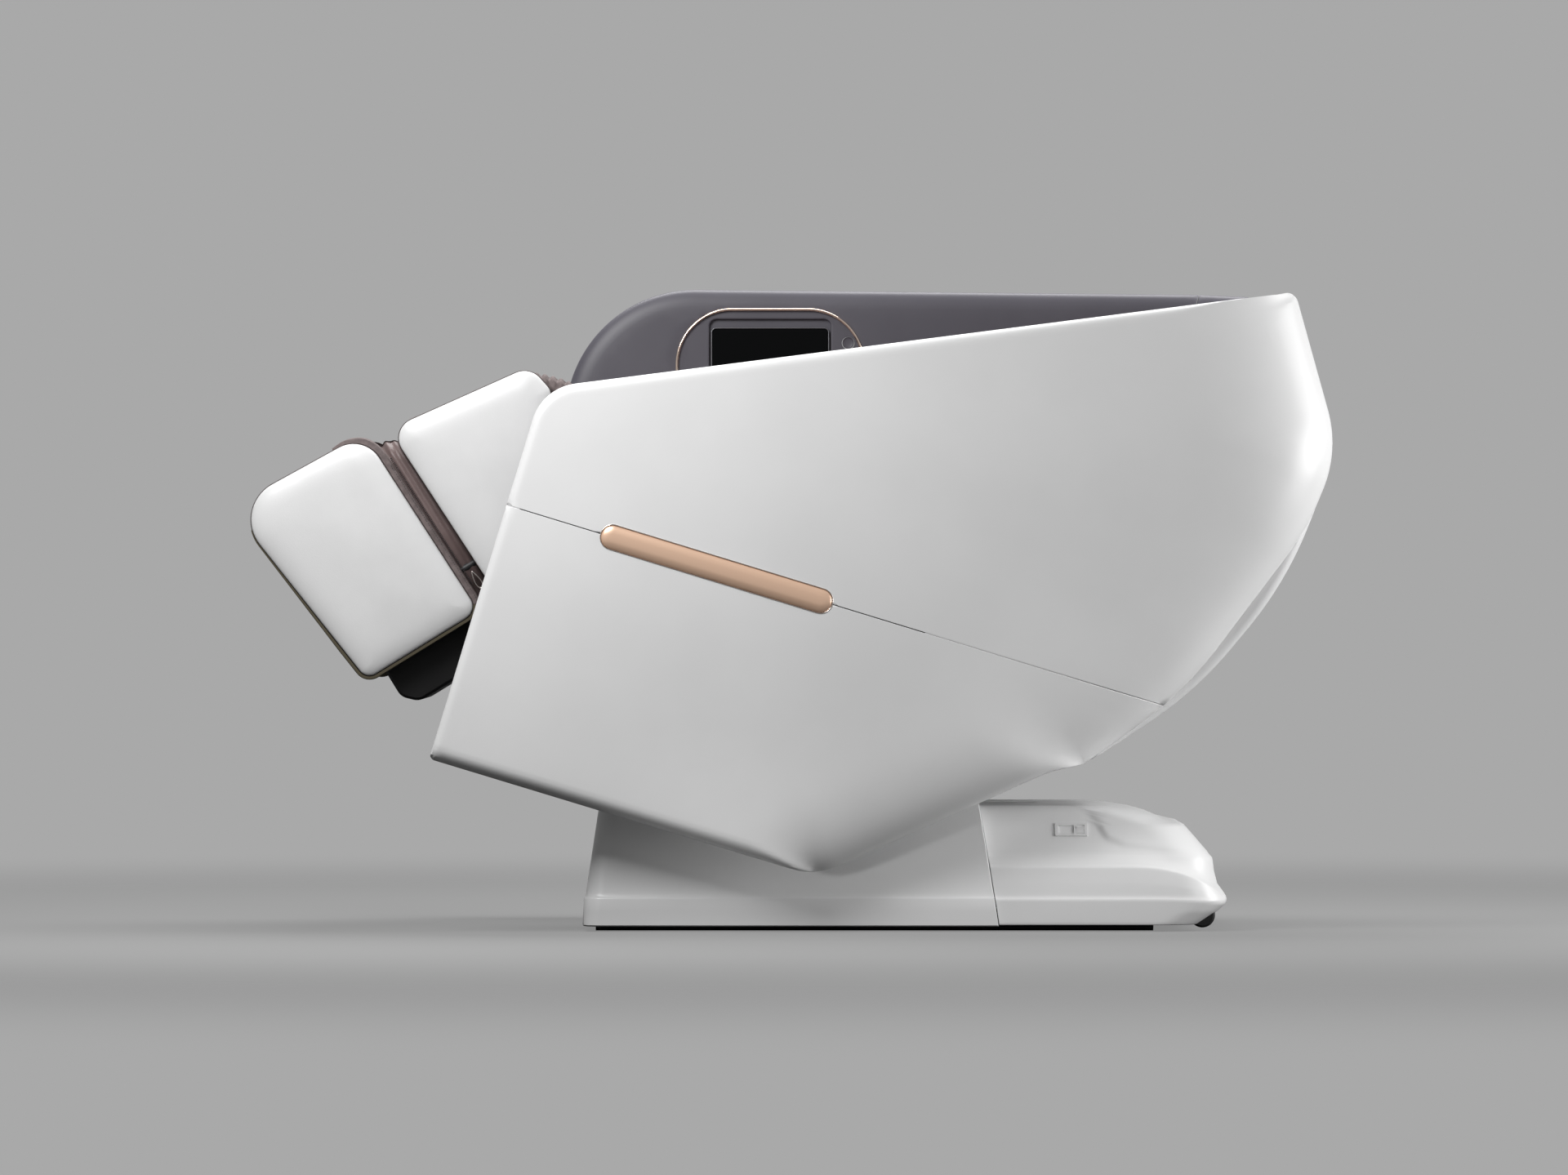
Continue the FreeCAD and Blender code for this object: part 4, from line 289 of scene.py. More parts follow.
def skinned(name, rows, finish, frame=floor_frame, closed=False, wall=0.0, crease=30.0, flip=False):
    """A sheet through rows of points."""
    count = len(rows[0])
    points = [point for row in rows for point in row]
    faces = []
    for r in range(len(rows) - 1):
        for c in range(count if closed else count - 1):
            a, b = r * count + c, r * count + (c + 1) % count
            face = (a, b, b + count, a + count)
            faces.append(face[::-1] if flip else face)
    return piece_from(name, points, faces, finish, frame, wall, crease)


def dress(piece, body, slot, *stands_for):
    """Let a piece ride on a body and stand for its CAD nodes; the slot is not used."""
    if stands_for:
        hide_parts(*stands_for)
    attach(piece, body)
    return piece


def seam_at(height):
    """Where the two base covers meet along the chair, at a height."""
    return 135.6 - (height - 10.0) / 181.0 * 29.2


def arc(x, y, radius, start, sweep, steps):
    """Points of an arc about x, y, in degrees."""
    return [(x + radius * math.cos(math.radians(start + sweep * k / steps)),
             y + radius * math.sin(math.radians(start + sweep * k / steps))) for k in range(steps + 1)]


def front_plan(height, nose, half, radius=24.0):
    """The front cover's outline from seam to seam round the nose, at one height."""
    start = seam_at(height) - 0.7
    side = [(start, -half), (start - 1.2, -half)]
    side += [(start + (radius - nose - start) * k / 30.0, -half) for k in range(1, 30)]
    corner = arc(radius - nose, radius - half, radius, 270, -90, 8)
    front = [(-nose, (radius - half) * (1 - k / 10.0)) for k in range(1, 10)]
    row = [(x, y, height) for x, y in side + corner + front]
    return row + [(-nose, 0.0, height)] + [(x, -y, height) for x, y, z in row[::-1]]


FRONT_LEVELS = (
    (10.0, 477.0, 301.0), (11.0, 477.6, 302.0), (30.0, 476.8, 302.0), (47.5, 476.0, 302.0),
    (48.6, 475.6, 301.6), (49.6, 474.6, 300.4), (52.0, 473.6, 299.0), (57.0, 472.6, 297.6),
    (70.0, 471.0, 295.0), (100.0, 466.4, 289.4), (130.0, 462.0, 283.6), (160.0, 457.6, 277.8),
    (186.0, 453.8, 272.8), (189.0, 453.0, 271.8), (190.6, 451.6, 270.2), (191.0, 449.6, 268.2),
    (191.0, 436.0, 264.0))
front_cover = skinned("front_base_cover", [front_plan(*level) for level in FRONT_LEVELS], white_paint,
                      wall=WALL, crease=40)
WELL_FRONT, WELL_REAR, WELL_HALF = -356.0, -20.0, 256.0


def well_plan(height, grow, radius=8.0):
    """The keel well's rounded rectangle, grown outward."""
    x0, x1, half = WELL_FRONT - grow, WELL_REAR + grow, WELL_HALF + grow
    ring = []
    for k, (x, y) in enumerate(((x1 - radius, half - radius), (x0 + radius, half - radius),
                                (x0 + radius, radius - half), (x1 - radius, radius - half))):
        ring += arc(x, y, radius, 90 * k, 90, 6)
    return [(x, y, height) for x, y in ring]


outer = [Vector(point[:2]) for point in front_plan(191.0, 436.0, 264.0)]
inner = [Vector(point[:2]) for point in well_plan(191.0, 2.0)]
borders = ([(k, (k + 1) % len(outer)) for k in range(len(outer))]
           + [(len(outer) + k, len(outer) + (k + 1) % len(inner)) for k in range(len(inner))])
spots, _, faces, *_ = geometry.delaunay_2d_cdt(outer + inner, borders, [], 1, 1e-4)
deck_faces = []
for face in faces:
    x = sum(spots[k].x for k in face) / len(face)
    y = sum(spots[k].y for k in face) / len(face)
    if not (WELL_FRONT - 2.0 < x < WELL_REAR + 2.0 and abs(y) < WELL_HALF + 2.0):
        deck_faces.append(face)
front_deck = piece_from("front_base_deck", [(p.x, p.y, 191.0) for p in spots], deck_faces, white_paint,
                        wall=WALL)
lip_rows = [well_plan(191.0, 2.0), well_plan(190.4, 0.6), well_plan(189.0, 0.0), well_plan(172.0, 0.0)]
well_lip = skinned("keel_well_lip", lip_rows, white_paint, closed=True, wall=2.5, flip=True)
dress(front_cover, "base", "white_shell", "base_front_cover")
dress(front_deck, "base", "white_shell")
dress(well_lip, "base", "white_shell")
# Height, inner and outer reach of the wall that closes the front cover's end, where the
# rear cover is the narrower of the two.
END_LEVELS = ((96.0, 278.0, 288.4), (113.0, 260.0, 285.2), (138.0, 240.0, 280.4), (163.0, 220.0, 275.6),
              (180.0, 205.0, 272.3), (187.4, 196.0, 270.8))
for side, way in (("left", -1), ("right", 1)):
    end_rows = [[(seam_at(z) - 2.4, way * y, z) for y in reach] for z, *reach in END_LEVELS]
    dress(skinned(f"{side}_front_base_end", end_rows, white_paint, wall=2.0), "base", "white_shell")

# The rear cover's levels, bottom to top: height and half width at the side, then the
# height and tail that the same level takes where it rounds the rear end.
REAR_LEVELS = (
    (10.0, 301.5, 10.0, 432.0), (11.0, 302.0, 11.0, 433.5), (30.0, 302.0, 30.0, 462.0),
    (44.0, 302.0, 40.0, 473.0), (47.5, 302.0, 44.0, 474.5), (48.8, 301.4, 46.0, 474.8),
    (50.0, 300.2, 48.0, 474.8), (54.0, 299.2, 50.0, 474.4), (70.0, 297.4, 52.0, 473.8),
    (94.0, 293.4, 54.0, 472.6), (96.0, 292.6, 56.0, 471.6), (97.2, 290.8, 59.0, 469.4),
    (103.0, 285.6, 70.0, 461.6), (110.0, 278.4, 88.0, 457.2), (112.4, 275.6, 102.0, 455.6),
    (113.6, 273.8, 108.0, 454.6), (118.0, 270.6, 113.0, 450.0), (128.0, 262.6, 125.0, 440.0),
    (138.0, 254.6, 138.0, 429.0), (148.0, 246.7, 150.0, 418.4), (154.5, 241.5, 155.6, 413.6),
    (158.0, 238.7, 158.0, 402.0), (163.0, 234.8, 162.4, 384.0), (169.0, 229.8, 170.0, 366.0),
    (175.0, 224.4, 177.0, 342.0), (180.0, 219.0, 181.4, 316.0), (183.6, 213.0, 184.4, 284.0),
    (185.2, 207.0, 185.6, 262.0), (185.6, 200.0, 185.8, 250.0), (185.6, 150.0, 185.8, 220.0),
    (185.6, 70.0, 185.8, 200.0), (185.6, 2.0, 185.8, 190.0))
# The lower edge of the raised panel on each flank, in side view.
SWOOSH = ((276.0, 196.0), (277.0, 178.0), (282.0, 160.0), (296.0, 138.0), (322.0, 127.0), (370.0, 121.5),
          (416.0, 116.5), (462.0, 106.0))


def beyond_swoosh(x, z):
    """0 outside the raised rear panel, 1 inside it, soft across its edge."""
    best, side = 1e9, 1.0
    for (x0, z0), (x1, z1) in zip(SWOOSH, SWOOSH[1:]):
        run, rise = x1 - x0, z1 - z0
        share = min(max(((x - x0) * run + (z - z0) * rise) / (run * run + rise * rise), 0.0), 1.0)
        gap = math.hypot(x - x0 - share * run, z - z0 - share * rise)
        if gap < best:
            best, side = gap, run * (z - z0) - rise * (x - x0)
    share = min(max((math.copysign(best, side) + 5.0) / 10.0, 0.0), 1.0)
    return share * share * (3 - 2 * share)


def rear_plan(height, half, tail_height, tail):
    """One level of the rear cover from seam to seam round the rear end."""
    bend = 66.0 if height < 183 else 40.0
    start = seam_at(height) + 0.7
    side = [(start, -half), (start + 1.2, -half)]
    side += [(start + (tail - bend - start) * k / 60.0, -half) for k in range(1, 60)]
    corner = []
    for k in range(25):
        turn = math.radians(3.75 * k)
        y = -half + bend * (1 - math.cos(turn) ** 0.85) if half > bend else -half * math.cos(turn)
        corner.append((tail - bend + bend * math.sin(turn) ** 0.85, y))
    end = [(tail, (bend - half) * (1 - k / 12.0) if half > bend else 0.0) for k in range(1, 12)]
    row = []
    for x, y in side + corner + end:
        share = min(max((x - (tail - 150.0)) / 145.0, 0.0), 1.0) ** 2.6
        z = height + (tail_height - height) * share
        if 113.0 < z < 185.0 and half > 210.0:
            lift = 2.8 * beyond_swoosh(x, z)
            y, z = y - lift * 0.8, z + lift * 0.3
        row.append((x, y, z))
    return row + [(x, -y, z) for x, y, z in row[::-1]]


levels = []
for low, high in zip(REAR_LEVELS, REAR_LEVELS[1:]):
    steps = max(1, round(abs(high[0] - low[0]) / 3.5))
    levels += [[a + (b - a) * k / steps for a, b in zip(low, high)] for k in range(steps)]
levels.append(REAR_LEVELS[-1])
rear_cover = skinned("rear_base_cover", [rear_plan(*level) for level in levels], white_paint,
                     wall=WALL, crease=40)
dress(rear_cover, "base", "white_shell", "base_rear_cover")

# Wheels, inlet and electrics: two rubber-tyred wheels let the chair be rolled when it is
# tipped back, the mains inlet and its rocker are moulded nearly in the cover's white, and
# a control box and an air pump of black ABS are screwed to the base tray.

# Moulded ABS: fine spark-eroded texture that breaks up the gloss.
black_abs = grained(mottled(new_finish("textured_black_abs", "#0E0D0E", 0.5, Specular_IOR_Level=0.3), 90,
                            "#111011", "#0B0A0B"), 0.7, 0.05)
pale_abs = grained(new_finish("moulded_pale_abs", "#EAEAEA", 0.4), 0.8, 0.01)
tyre_rubber = grained(new_finish("tyre_rubber", "#101011", 0.72), 1.2, 0.06)
wear(black_abs, "control_box", "air_pump", "tablet", "legrest_gearmotor", "carriage_motor", "calf_housing",
     "foot_housing", "front_apron")
wear(pale_abs, "power_inlet", "rocker_switch")
wear(tyre_rubber, "transport_wheels")

# Rams: two linear drives, one that tilts the pod and one that reclines the back. Each is
# a black enamelled gear head and tube, with a steel rod that ends in an eye at its pin.

# Enamel: smooth gloss black over a casting.
black_enamel = grained(new_finish("black_enamel", "#1A1A1B", 0.34, Coat_Weight=0.3), 3.0, 0.02)
wear(black_enamel, "tilt_ram_body", "recline_ram_body")

# Side shells: four thin ABS mouldings, painted the same white, an upper and a lower one
# on each side. They meet in a fine seam, screw to the seat frame's pads from inside, and
# roll in broadly toward the back and the keel.
pod = placed(-134.4, 292.8, 17.0)


def rounded(corners, step=6.0):
    """A closed outline of points along straight sides and tangent arcs."""
    count, marks = len(corners), []
    for k, (x, z, radius) in enumerate(corners):
        here = Vector((x, z))
        back_way = Vector(corners[k - 1][:2]) - here
        ahead = Vector(corners[(k + 1) % count][:2]) - here
        half = back_way.angle(ahead) / 2
        reach = min(radius / math.tan(half), 0.49 * back_way.length, 0.49 * ahead.length)
        radius = reach * math.tan(half)
        middle = here + (back_way.normalized() + ahead.normalized()).normalized() * (radius / math.sin(half))
        enter, leave = here + back_way.normalized() * reach, here + ahead.normalized() * reach
        start = math.atan2(enter.y - middle.y, enter.x - middle.x)
        sweep = math.atan2(leave.y - middle.y, leave.x - middle.x) - start
        sweep = (sweep + math.pi) % math.tau - math.pi
        steps = max(2, math.ceil(abs(sweep) * max(radius, 4.0) / step), math.ceil(abs(sweep) / 0.2))
        marks.append([(middle.x + radius * math.cos(start + sweep * n / steps),
                       middle.y + radius * math.sin(start + sweep * n / steps)) for n in range(steps + 1)])
    path = []
    for k, bend in enumerate(marks):
        path += bend
        (x0, z0), (x1, z1) = bend[-1], marks[(k + 1) % count][0]
        steps = max(1, round(math.hypot(x1 - x0, z1 - z0) / step))
        path += [(x0 + (x1 - x0) * n / steps, z0 + (z1 - z0) * n / steps) for n in range(1, steps)]
    return path


KNOWN_RUNS = {}


def runs_of(path, closed):
    """Starts and ends of a path's straight runs, kept for the next time it is asked for."""
    if (id(path), closed) not in KNOWN_RUNS:
        ends = path[1:] + path[:1] if closed else path[1:]
        KNOWN_RUNS[id(path), closed] = (path, numpy.array(path[:len(ends)]), numpy.array(ends))
    return KNOWN_RUNS[id(path), closed][1:]


def distance_to(x, z, path, closed=False):
    """Shortest distance from a point to a run of points."""
    starts, ends = runs_of(path, closed)
    runs, away = ends - starts, numpy.array((x, z)) - starts
    share = (away * runs).sum(1) / numpy.maximum((runs * runs).sum(1), 1e-12)
    away = away - numpy.clip(share, 0.0, 1.0)[:, None] * runs
    return math.sqrt((away * away).sum(1).min())


def inside(x, z, path):
    """Whether a point lies inside a closed outline."""
    starts, ends = runs_of(path, True)
    crossing = (starts[:, 1] > z) != (ends[:, 1] > z)
    a, b = starts[crossing], ends[crossing]
    crossed_at = a[:, 0] + (b[:, 0] - a[:, 0]) * (z - a[:, 1]) / (b[:, 1] - a[:, 1])
    return numpy.count_nonzero(x < crossed_at) % 2 == 1


def clipped(path, level, above):
    """The part of a closed outline above or below a height."""
    kept = []
    sign = 1 if above else -1
    for (x0, z0), (x1, z1) in zip(path, path[1:] + path[:1]):
        in0, in1 = sign * (z0 - level) >= 0, sign * (z1 - level) >= 0
        if in0:
            kept.append((x0, z0))
        if in0 != in1:
            kept.append((x0 + (level - z0) / (z1 - z0) * (x1 - x0), level))
    return kept


def panel(name, outline, holes, offsets, spacing, relief, finish, frame, toward=-1, rim=None, back=None,
          wall=0.0, crease=30.0):
    """A panel over a flat outline, closely meshed along its edges and evenly inside them.

    relief gives the face's y at a point, toward the way it looks, rim the y that its edge is
    folded to, and back the y of a second face that closes it."""
    loops = [outline] + holes
    dots, borders = [], []
    for loop in loops:
        first = len(dots)
        dots += loop
        borders += [(first + k, first + (k + 1) % len(loop)) for k in range(len(loop))]
    for loop in loops:
        size = len(loop)
        area = sum(loop[k][0] * loop[(k + 1) % size][1] - loop[(k + 1) % size][0] * loop[k][1]
                   for k in range(size))
        turn = (1 if area > 0 else -1) * (1 if loop is outline else -1)
        for k in range(size):
            (xa, za), (xb, zb) = loop[k - 1], loop[(k + 1) % size]
            length = math.hypot(xb - xa, zb - za) or 1.0
            nx, nz = -(zb - za) / length * turn, (xb - xa) / length * turn
            for offset in offsets:
                if offset > 20 and k % 2:
                    continue
                x, z = loop[k][0] + nx * offset, loop[k][1] + nz * offset
                near = min(distance_to(x, z, other, True) for other in loops)
                if near > 0.97 * offset - 0.05 and inside(x, z, outline):
                    dots.append((x, z))
    far = offsets[-1] + 0.6 * spacing if offsets else 0.6 * spacing
    low_x, high_x = min(x for x, z in outline), max(x for x, z in outline)
    low_z, high_z = min(z for x, z in outline), max(z for x, z in outline)
    for row in range(int((high_z - low_z) / spacing)):
        for column in range(int((high_x - low_x) / spacing)):
            x, z = low_x + (column + 0.5) * spacing, low_z + (row + 0.5) * spacing
            if inside(x, z, outline) and not any(inside(x, z, hole) for hole in holes):
                if min(distance_to(x, z, loop, True) for loop in loops) > far:
                    dots.append((x, z))
    spots, _, faces, *_ = geometry.delaunay_2d_cdt([Vector(d) for d in dots], borders, [], 1, 1e-3)
    points = [(p.x, relief(p.x, p.y), p.y) for p in spots]
    kept = []
    for face in faces:
        x = sum(spots[k].x for k in face) / len(face)
        z = sum(spots[k].y for k in face) / len(face)
        if not any(inside(x, z, hole) for hole in holes):
            kept.append(list(face) if toward < 0 else list(face)[::-1])
    edges = {(a, face[(k + 1) % len(face)]) for face in kept for k, a in enumerate(face)}
    border = [(a, b) for a, b in edges if (b, a) not in edges]
    if rim:
        fold = {}
        for k in {k for edge in border for k in edge}:
            level = rim(spots[k].x, spots[k].y)
            if level is not None and (points[k][1] - level) * toward > 0.5:
                fold[k] = len(points)
                points.append((spots[k].x, level, spots[k].y))
        kept += [[b, a, fold[a], fold[b]] for a, b in border if a in fold and b in fold]
    if back:
        far_side = len(points)
        points += [(p.x, back(p.x, p.y), p.y) for p in spots]
        kept += [[k + far_side for k in face[::-1]] for face in kept]
        kept += [[b, a, a + far_side, b + far_side] for a, b in border]
    return piece_from(name, points, kept, finish, frame, wall, crease)


SHELL_CORNERS = ((-535, -201, 8), (60, -200, 100), (345, 48, 120), (392, 74, 8), (501, 215, 700),
                 (605, 500, 400), (617, 627, 350), (487, 831, 15), (-535, 370, 75))
shell_edge = rounded(SHELL_CORNERS, 9.0)
FACE, RIM = 400.0, 352.0


def stretch_of(path, start, end):
    """The run of a closed outline between the points nearest two places."""
    first = min(range(len(path)), key=lambda k: math.hypot(path[k][0] - start[0], path[k][1] - start[1]))
    last = min(range(len(path)), key=lambda k: math.hypot(path[k][0] - end[0], path[k][1] - end[1]))
    return path[first:last + 1] if first <= last else path[first:] + path[:last + 1]


rear_run = stretch_of(shell_edge, (392, 74), (487, 831))
keel_run = stretch_of(shell_edge, (60, -200), (392, 74))
bottom_run = stretch_of(shell_edge, (-535, -201), (60, -200))
open_run = stretch_of(shell_edge, (487, 831), (-535, -201))
ROLLS = ((rear_run, 200.0, 100.0, 2.2), (keel_run, 120.0, 48.0, 2.2), (bottom_run, 20.0, 26.0, 2.0),
         (open_run, 13.0, 12.0, 2.0))


def shell_face(x, z):
    """Where the near shell's face stands at a point, rolled in along its edges."""
    total = 0.0
    for run, reach, depth, power in ROLLS:
        gap = distance_to(x, z, run)
        if gap < reach:
            share = (reach - gap) / reach
            total += (depth * (1 - math.sqrt(max(0.0, 1 - share ** power)))) ** 4
    return min(total ** 0.25 - FACE, -300.0)


def shell_rim(x, z):
    """The depth that the shell's edge is folded to; none along the seam."""
    return -RIM if distance_to(x, z, shell_edge, True) < 0.3 else None


SEAM = 190.0
TRIM_FRONT, TRIM_LENGTH, TRIM_HALF = -389.0, 354.0, 17.5


def trim_outline(gap, step=3.0):
    low, high, radius = SEAM - TRIM_HALF - gap, SEAM + TRIM_HALF + gap, TRIM_HALF + gap - 0.05
    x0, x1 = TRIM_FRONT - gap, TRIM_FRONT + TRIM_LENGTH + gap
    return rounded(((x0, low, radius), (x1, low, radius), (x1, high, radius), (x0, high, radius)), step)


def opened(path, level, above):
    """A clipped outline from its one end on the cut to the other."""
    part = clipped(path, level, above)
    on_cut = [k for k, (x, z) in enumerate(part) if abs(z - level) < 1e-6]
    left = min(on_cut, key=lambda k: part[k][0])
    right = max(on_cut, key=lambda k: part[k][0])
    start, end = (right, left) if above else (left, right)
    return part[start:end + 1] if start <= end else part[start:] + part[:end + 1]


def along_seam(x0, x1, level):
    steps = max(1, round(abs(x1 - x0) / 9.0))
    return [(x0 + (x1 - x0) * k / steps, level) for k in range(1, steps)]


def shell_half(above):
    """Outline of one shell: cut at the seam and round the trim bar's slot."""
    level = SEAM + (0.6 if above else -0.6)
    edge = opened(shell_edge, level, above)
    slot = opened(trim_outline(1.2), level, above)[::-1]
    return (edge + along_seam(edge[-1][0], slot[0][0], level) + slot
            + along_seam(slot[-1][0], edge[0][0], level))


EDGE_STEPS = (0.7, 1.8, 3.6, 6.0, 9.0, 13.0, 18.0, 25.0, 34.0, 45.0, 58.0, 74.0, 92.0, 112.0, 135.0, 160.0)


def other_side(name, piece):
    """The same piece on the chair's other side."""
    mesh = piece.data.copy()
    mesh.transform(Matrix.Scale(-1, 4, (0, 1, 0)))
    mesh.flip_normals()
    made = bpy.data.objects.new(name, mesh)
    bpy.context.scene.collection.objects.link(made)
    for modifier in piece.modifiers:
        skin = made.modifiers.new(modifier.name, "SOLIDIFY")
        skin.thickness, skin.offset = modifier.thickness, -1.0
    return made


for level, above in (("upper", True), ("lower", False)):
    left = panel(f"left_shell_{level}", shell_half(above), [], EDGE_STEPS, 26.0, shell_face, white_paint,
                 pod, rim=shell_rim, wall=3.2, crease=35.0)
    right = other_side(f"right_shell_{level}", left)
    dress(left, "pod", "white_shell", f"left_{level}_shell")
    dress(right, "pod", "white_shell", f"right_{level}_shell")

# Trim bars: one domed aluminium bar on each side, anodised rose gold and satin brushed,
# pressed into the slot on the shells' seam, with a thin bright bead round it.

# Anodised aluminium: a metal with a broad soft highlight and a faint brushing that runs
# level, so nearly along the bar.
rose_gold = grained(new_finish("rose_gold_anodised_aluminium", "#FAD2B5", 0.3, Metallic=0.5,
                               Coat_Weight=0.35, Coat_Roughness=0.25), 5.0, 0.01, stretch=(1, 1, 26))
# Polished metal: sharp reflections of the studio, a little warm.
bright_bead = new_finish("polished_bead", "#E2DAD4", 0.12, Metallic=1.0)
bar_edge = trim_outline(0.0)


def bar_dome(x, z):
    near = min(distance_to(x, z, bar_edge, True), 15.0)
    return -398.6 - 5.4 * math.sqrt(1 - (1 - near / 15.0) ** 2)


def tube(name, path, radius, finish, frame=floor_frame, closed=False, sides=10):
    """A round wire or piping along a path."""
    count = len(path)
    rows = []
    spots = [Vector(point) for point in path]
    for k, here in enumerate(spots):
        before = spots[k - 1] if k or closed else here
        after = spots[(k + 1) % count] if k < count - 1 or closed else here
        way = (after - before).normalized()
        across = way.cross(Vector((0, 1, 0)))
        across = across.normalized() if across.length > 0.05 else Vector((1, 0, 0))
        up = across.cross(way).normalized()
        rows.append([tuple(here + radius * (math.cos(math.tau * n / sides) * across
                                            + math.sin(math.tau * n / sides) * up)) for n in range(sides)])
    if closed:
        rows.append(rows[0])
    return skinned(name, rows, finish, frame, closed=True, crease=60, flip=True)


left_bar = panel("left_trim", bar_edge, [], (0.5, 1.2, 2.4, 4.0, 6.0, 9.0, 12.5), 9.0, bar_dome, rose_gold,
                 pod, rim=lambda x, z: -393.0, crease=50)
left_bead = tube("left_trim_bead", [(x, -400.2, z) for x, z in trim_outline(1.0)], 0.75, bright_bead,
                 pod, True)
right_bar, right_bead = other_side("right_trim", left_bar), other_side("right_trim_bead", left_bead)
dress(left_bar, "pod", "rose_gold", "left_trim_bar")
dress(right_bar, "pod", "rose_gold", "right_trim_bar")
dress(left_bead, "pod", "ring_metal")
dress(right_bead, "pod", "ring_metal")

# Inner panels: grey ABS mouldings round the seat, a low one on the left, a tall wing and
# a head piece on the right. The wing holds the control screen inside a thin polished ring,
# and one round button; the openings for both pass right through it.

# Satin ABS: moulded grey with a fine texture and a soft, slightly cool sheen.
grey_abs = grained(mottled(new_finish("satin_grey_abs", "#5C5A62", 0.42), 140, "#5E5C64", "#59575F"),
                   0.8, 0.015)
polished_ring = new_finish("polished_warm_ring", "#F2DDCD", 0.1, Metallic=1.0)
# Cover glass: a near-black gloss with the display dark behind it.
screen_glass = new_finish("dark_screen_glass", "#040506", 0.08, Specular_IOR_Level=0.12)
wear(screen_glass, "tablet_glass")
INNER, OUTER = 316.0, 349.0
LINER_FRONT, LINER_LOW = -516.0, 150.0


def shell_top(x):
    """The line of the shell's upper edge, from its front corner to its crown."""
    (crown_x, crown_z, _), (front_x, front_z, _) = SHELL_CORNERS[-2:]
    return front_z + (x - front_x) * (crown_z - front_z) / (crown_x - front_x)


def wing_top(x):
    """The line of the wing's upper edge."""
    return 550.0 + (x - LINER_FRONT) * 261.0 / 886.0


def rolled(near, reach, depth):
    """How far a rounded edge falls back at a distance from it."""
    return depth * (1 - math.sqrt(1 - (1 - min(near, reach) / reach) ** 2))


RING_X, RING_Z, RING_LEAN = -229.5, 513.3, 17.0
ring_frame = pod @ placed(RING_X, RING_Z, -RING_LEAN)
RING_REACH, RING_END = 146.5 - 3, 89.5 - 3.0
SCREEN_HALF, SCREEN_UP = 90.5, 58.5
BUTTON = (120.2, 35.2, 9.0)


def in_ring(a, b):
    """A point of the ring's frame in the pod's."""
    along, across = math.cos(math.radians(RING_LEAN)), math.sin(math.radians(RING_LEAN))
    return (RING_X + a * along - b * across, RING_Z + a * across + b * along)


def recess_loop(grow):
    x, radius = SCREEN_HALF + 3.0 + grow, 11 + grow
    low, high = -SCREEN_UP - 5.0 - grow, SCREEN_UP + 13.0 + grow
    return rounded(((-x, low, radius), (x, low, radius), (x, high, radius), (-x, high, radius)), 4.0)


def button_loop(radius, count=40):
    return [(BUTTON[0] + radius * math.cos(math.tau * k / count),
             BUTTON[1] + radius * math.sin(math.tau * k / count)) for k in range(count)]


ring_line = rounded([(x * RING_REACH, z * RING_END, RING_END - 0.05)
                     for x, z in ((-1, -1), (1, -1), (1, 1), (-1, 1))], 4.0)
ring_in_pod = [in_ring(a, b) for a, b in ring_line]
wing_edge = rounded(((LINER_FRONT, LINER_LOW, 20), (370, 370, 60), (370, wing_top(370), 1),
                     (LINER_FRONT, wing_top(LINER_FRONT), 200)), 8.0)
wing_open = stretch_of(wing_edge, (370, wing_top(370)), (LINER_FRONT, LINER_LOW))


def wing_face(x, z):
    """The wing's inner face: a broad roll along its nose and top, sunk a little in the ring."""
    y = INNER + rolled(distance_to(x, z, wing_open), 30.0, 13.0)
    near = distance_to(x, z, ring_in_pod, True)
    share = min(max((near + 1.5) / 3.0, 0.0), 1.0) if inside(x, z, ring_in_pod) else 0.0
    return y + 1.4 * share


PANEL_STEPS = (0.6, 1.6, 3.2, 5.5, 9.0, 14.0, 20.0, 27.0)


def outer_face(edge, side):
    """The face that closes a panel toward its shell, rounded along the panel's edge."""
    return lambda x, z: side * (OUTER - rolled(distance_to(x, z, edge, True), 9.0, 6.0))


wing = panel("wing_panel", wing_edge,
             [[in_ring(a, b) for a, b in recess_loop(2.4)], [in_ring(a, b) for a, b in button_loop(9.8)]],
             PANEL_STEPS, 13.0, wing_face, grey_abs, pod, back=outer_face(wing_edge, 1), crease=40)
recess_rows = [[(a, INNER + y, b) for a, b in recess_loop(grow)] for grow, y in (
    (2.4, 1.4), (1.5, 1.55), (0.8, 2.0), (0.3, 2.8), (0.0, 4.0), (0.0, 10.0))]
recess = skinned("screen_recess", recess_rows, grey_abs, ring_frame, closed=True, crease=50)
floor_plate = panel("screen_recess_floor", recess_loop(0.6), [], (), 40.0, lambda x, z: INNER + 10.0,
                    grey_abs, ring_frame)
frame_line = rounded(((-90.2, -58.2, 7), (90.2, -58.2, 7), (90.2, 58.2, 7), (-90.2, 58.2, 7)), 3.0)
# Die-cast frame: the thin light line round the glass.
cast_frame = new_finish("satin_cast_frame", "#8E8E92", 0.3, Metallic=0.9)
screen_frame = tube("screen_frame", [(a, INNER + 2.6, b) for a, b in frame_line], 0.75, cast_frame,
                    ring_frame, True)
ring = tube("ring_wire", [(a, INNER - 2.2, b) for a, b in ring_line], 2.3, polished_ring, ring_frame,
            True, 14)
button_rows = []
for radius, y in ((0.02, 1.2), (3.0, 1.1), (6.0, 0.9), (7.4, 0.6), (7.9, 0.0), (8.4, -0.3), (8.8, -0.1),
                  (9.0, 0.6), (9.0, 5.0)):
    button_rows.append([(a, INNER - 0.4 + y, b) for a, b in button_loop(radius)])
button_cap = skinned("button_cap", button_rows, grey_abs, ring_frame, closed=True, crease=50, flip=True)
head_edge = rounded(((371.2, 410, 1), (456, 450, 40), (456, wing_top(456) - 3, 12),
                     (371.2, wing_top(371.2), 1)), 8.0)
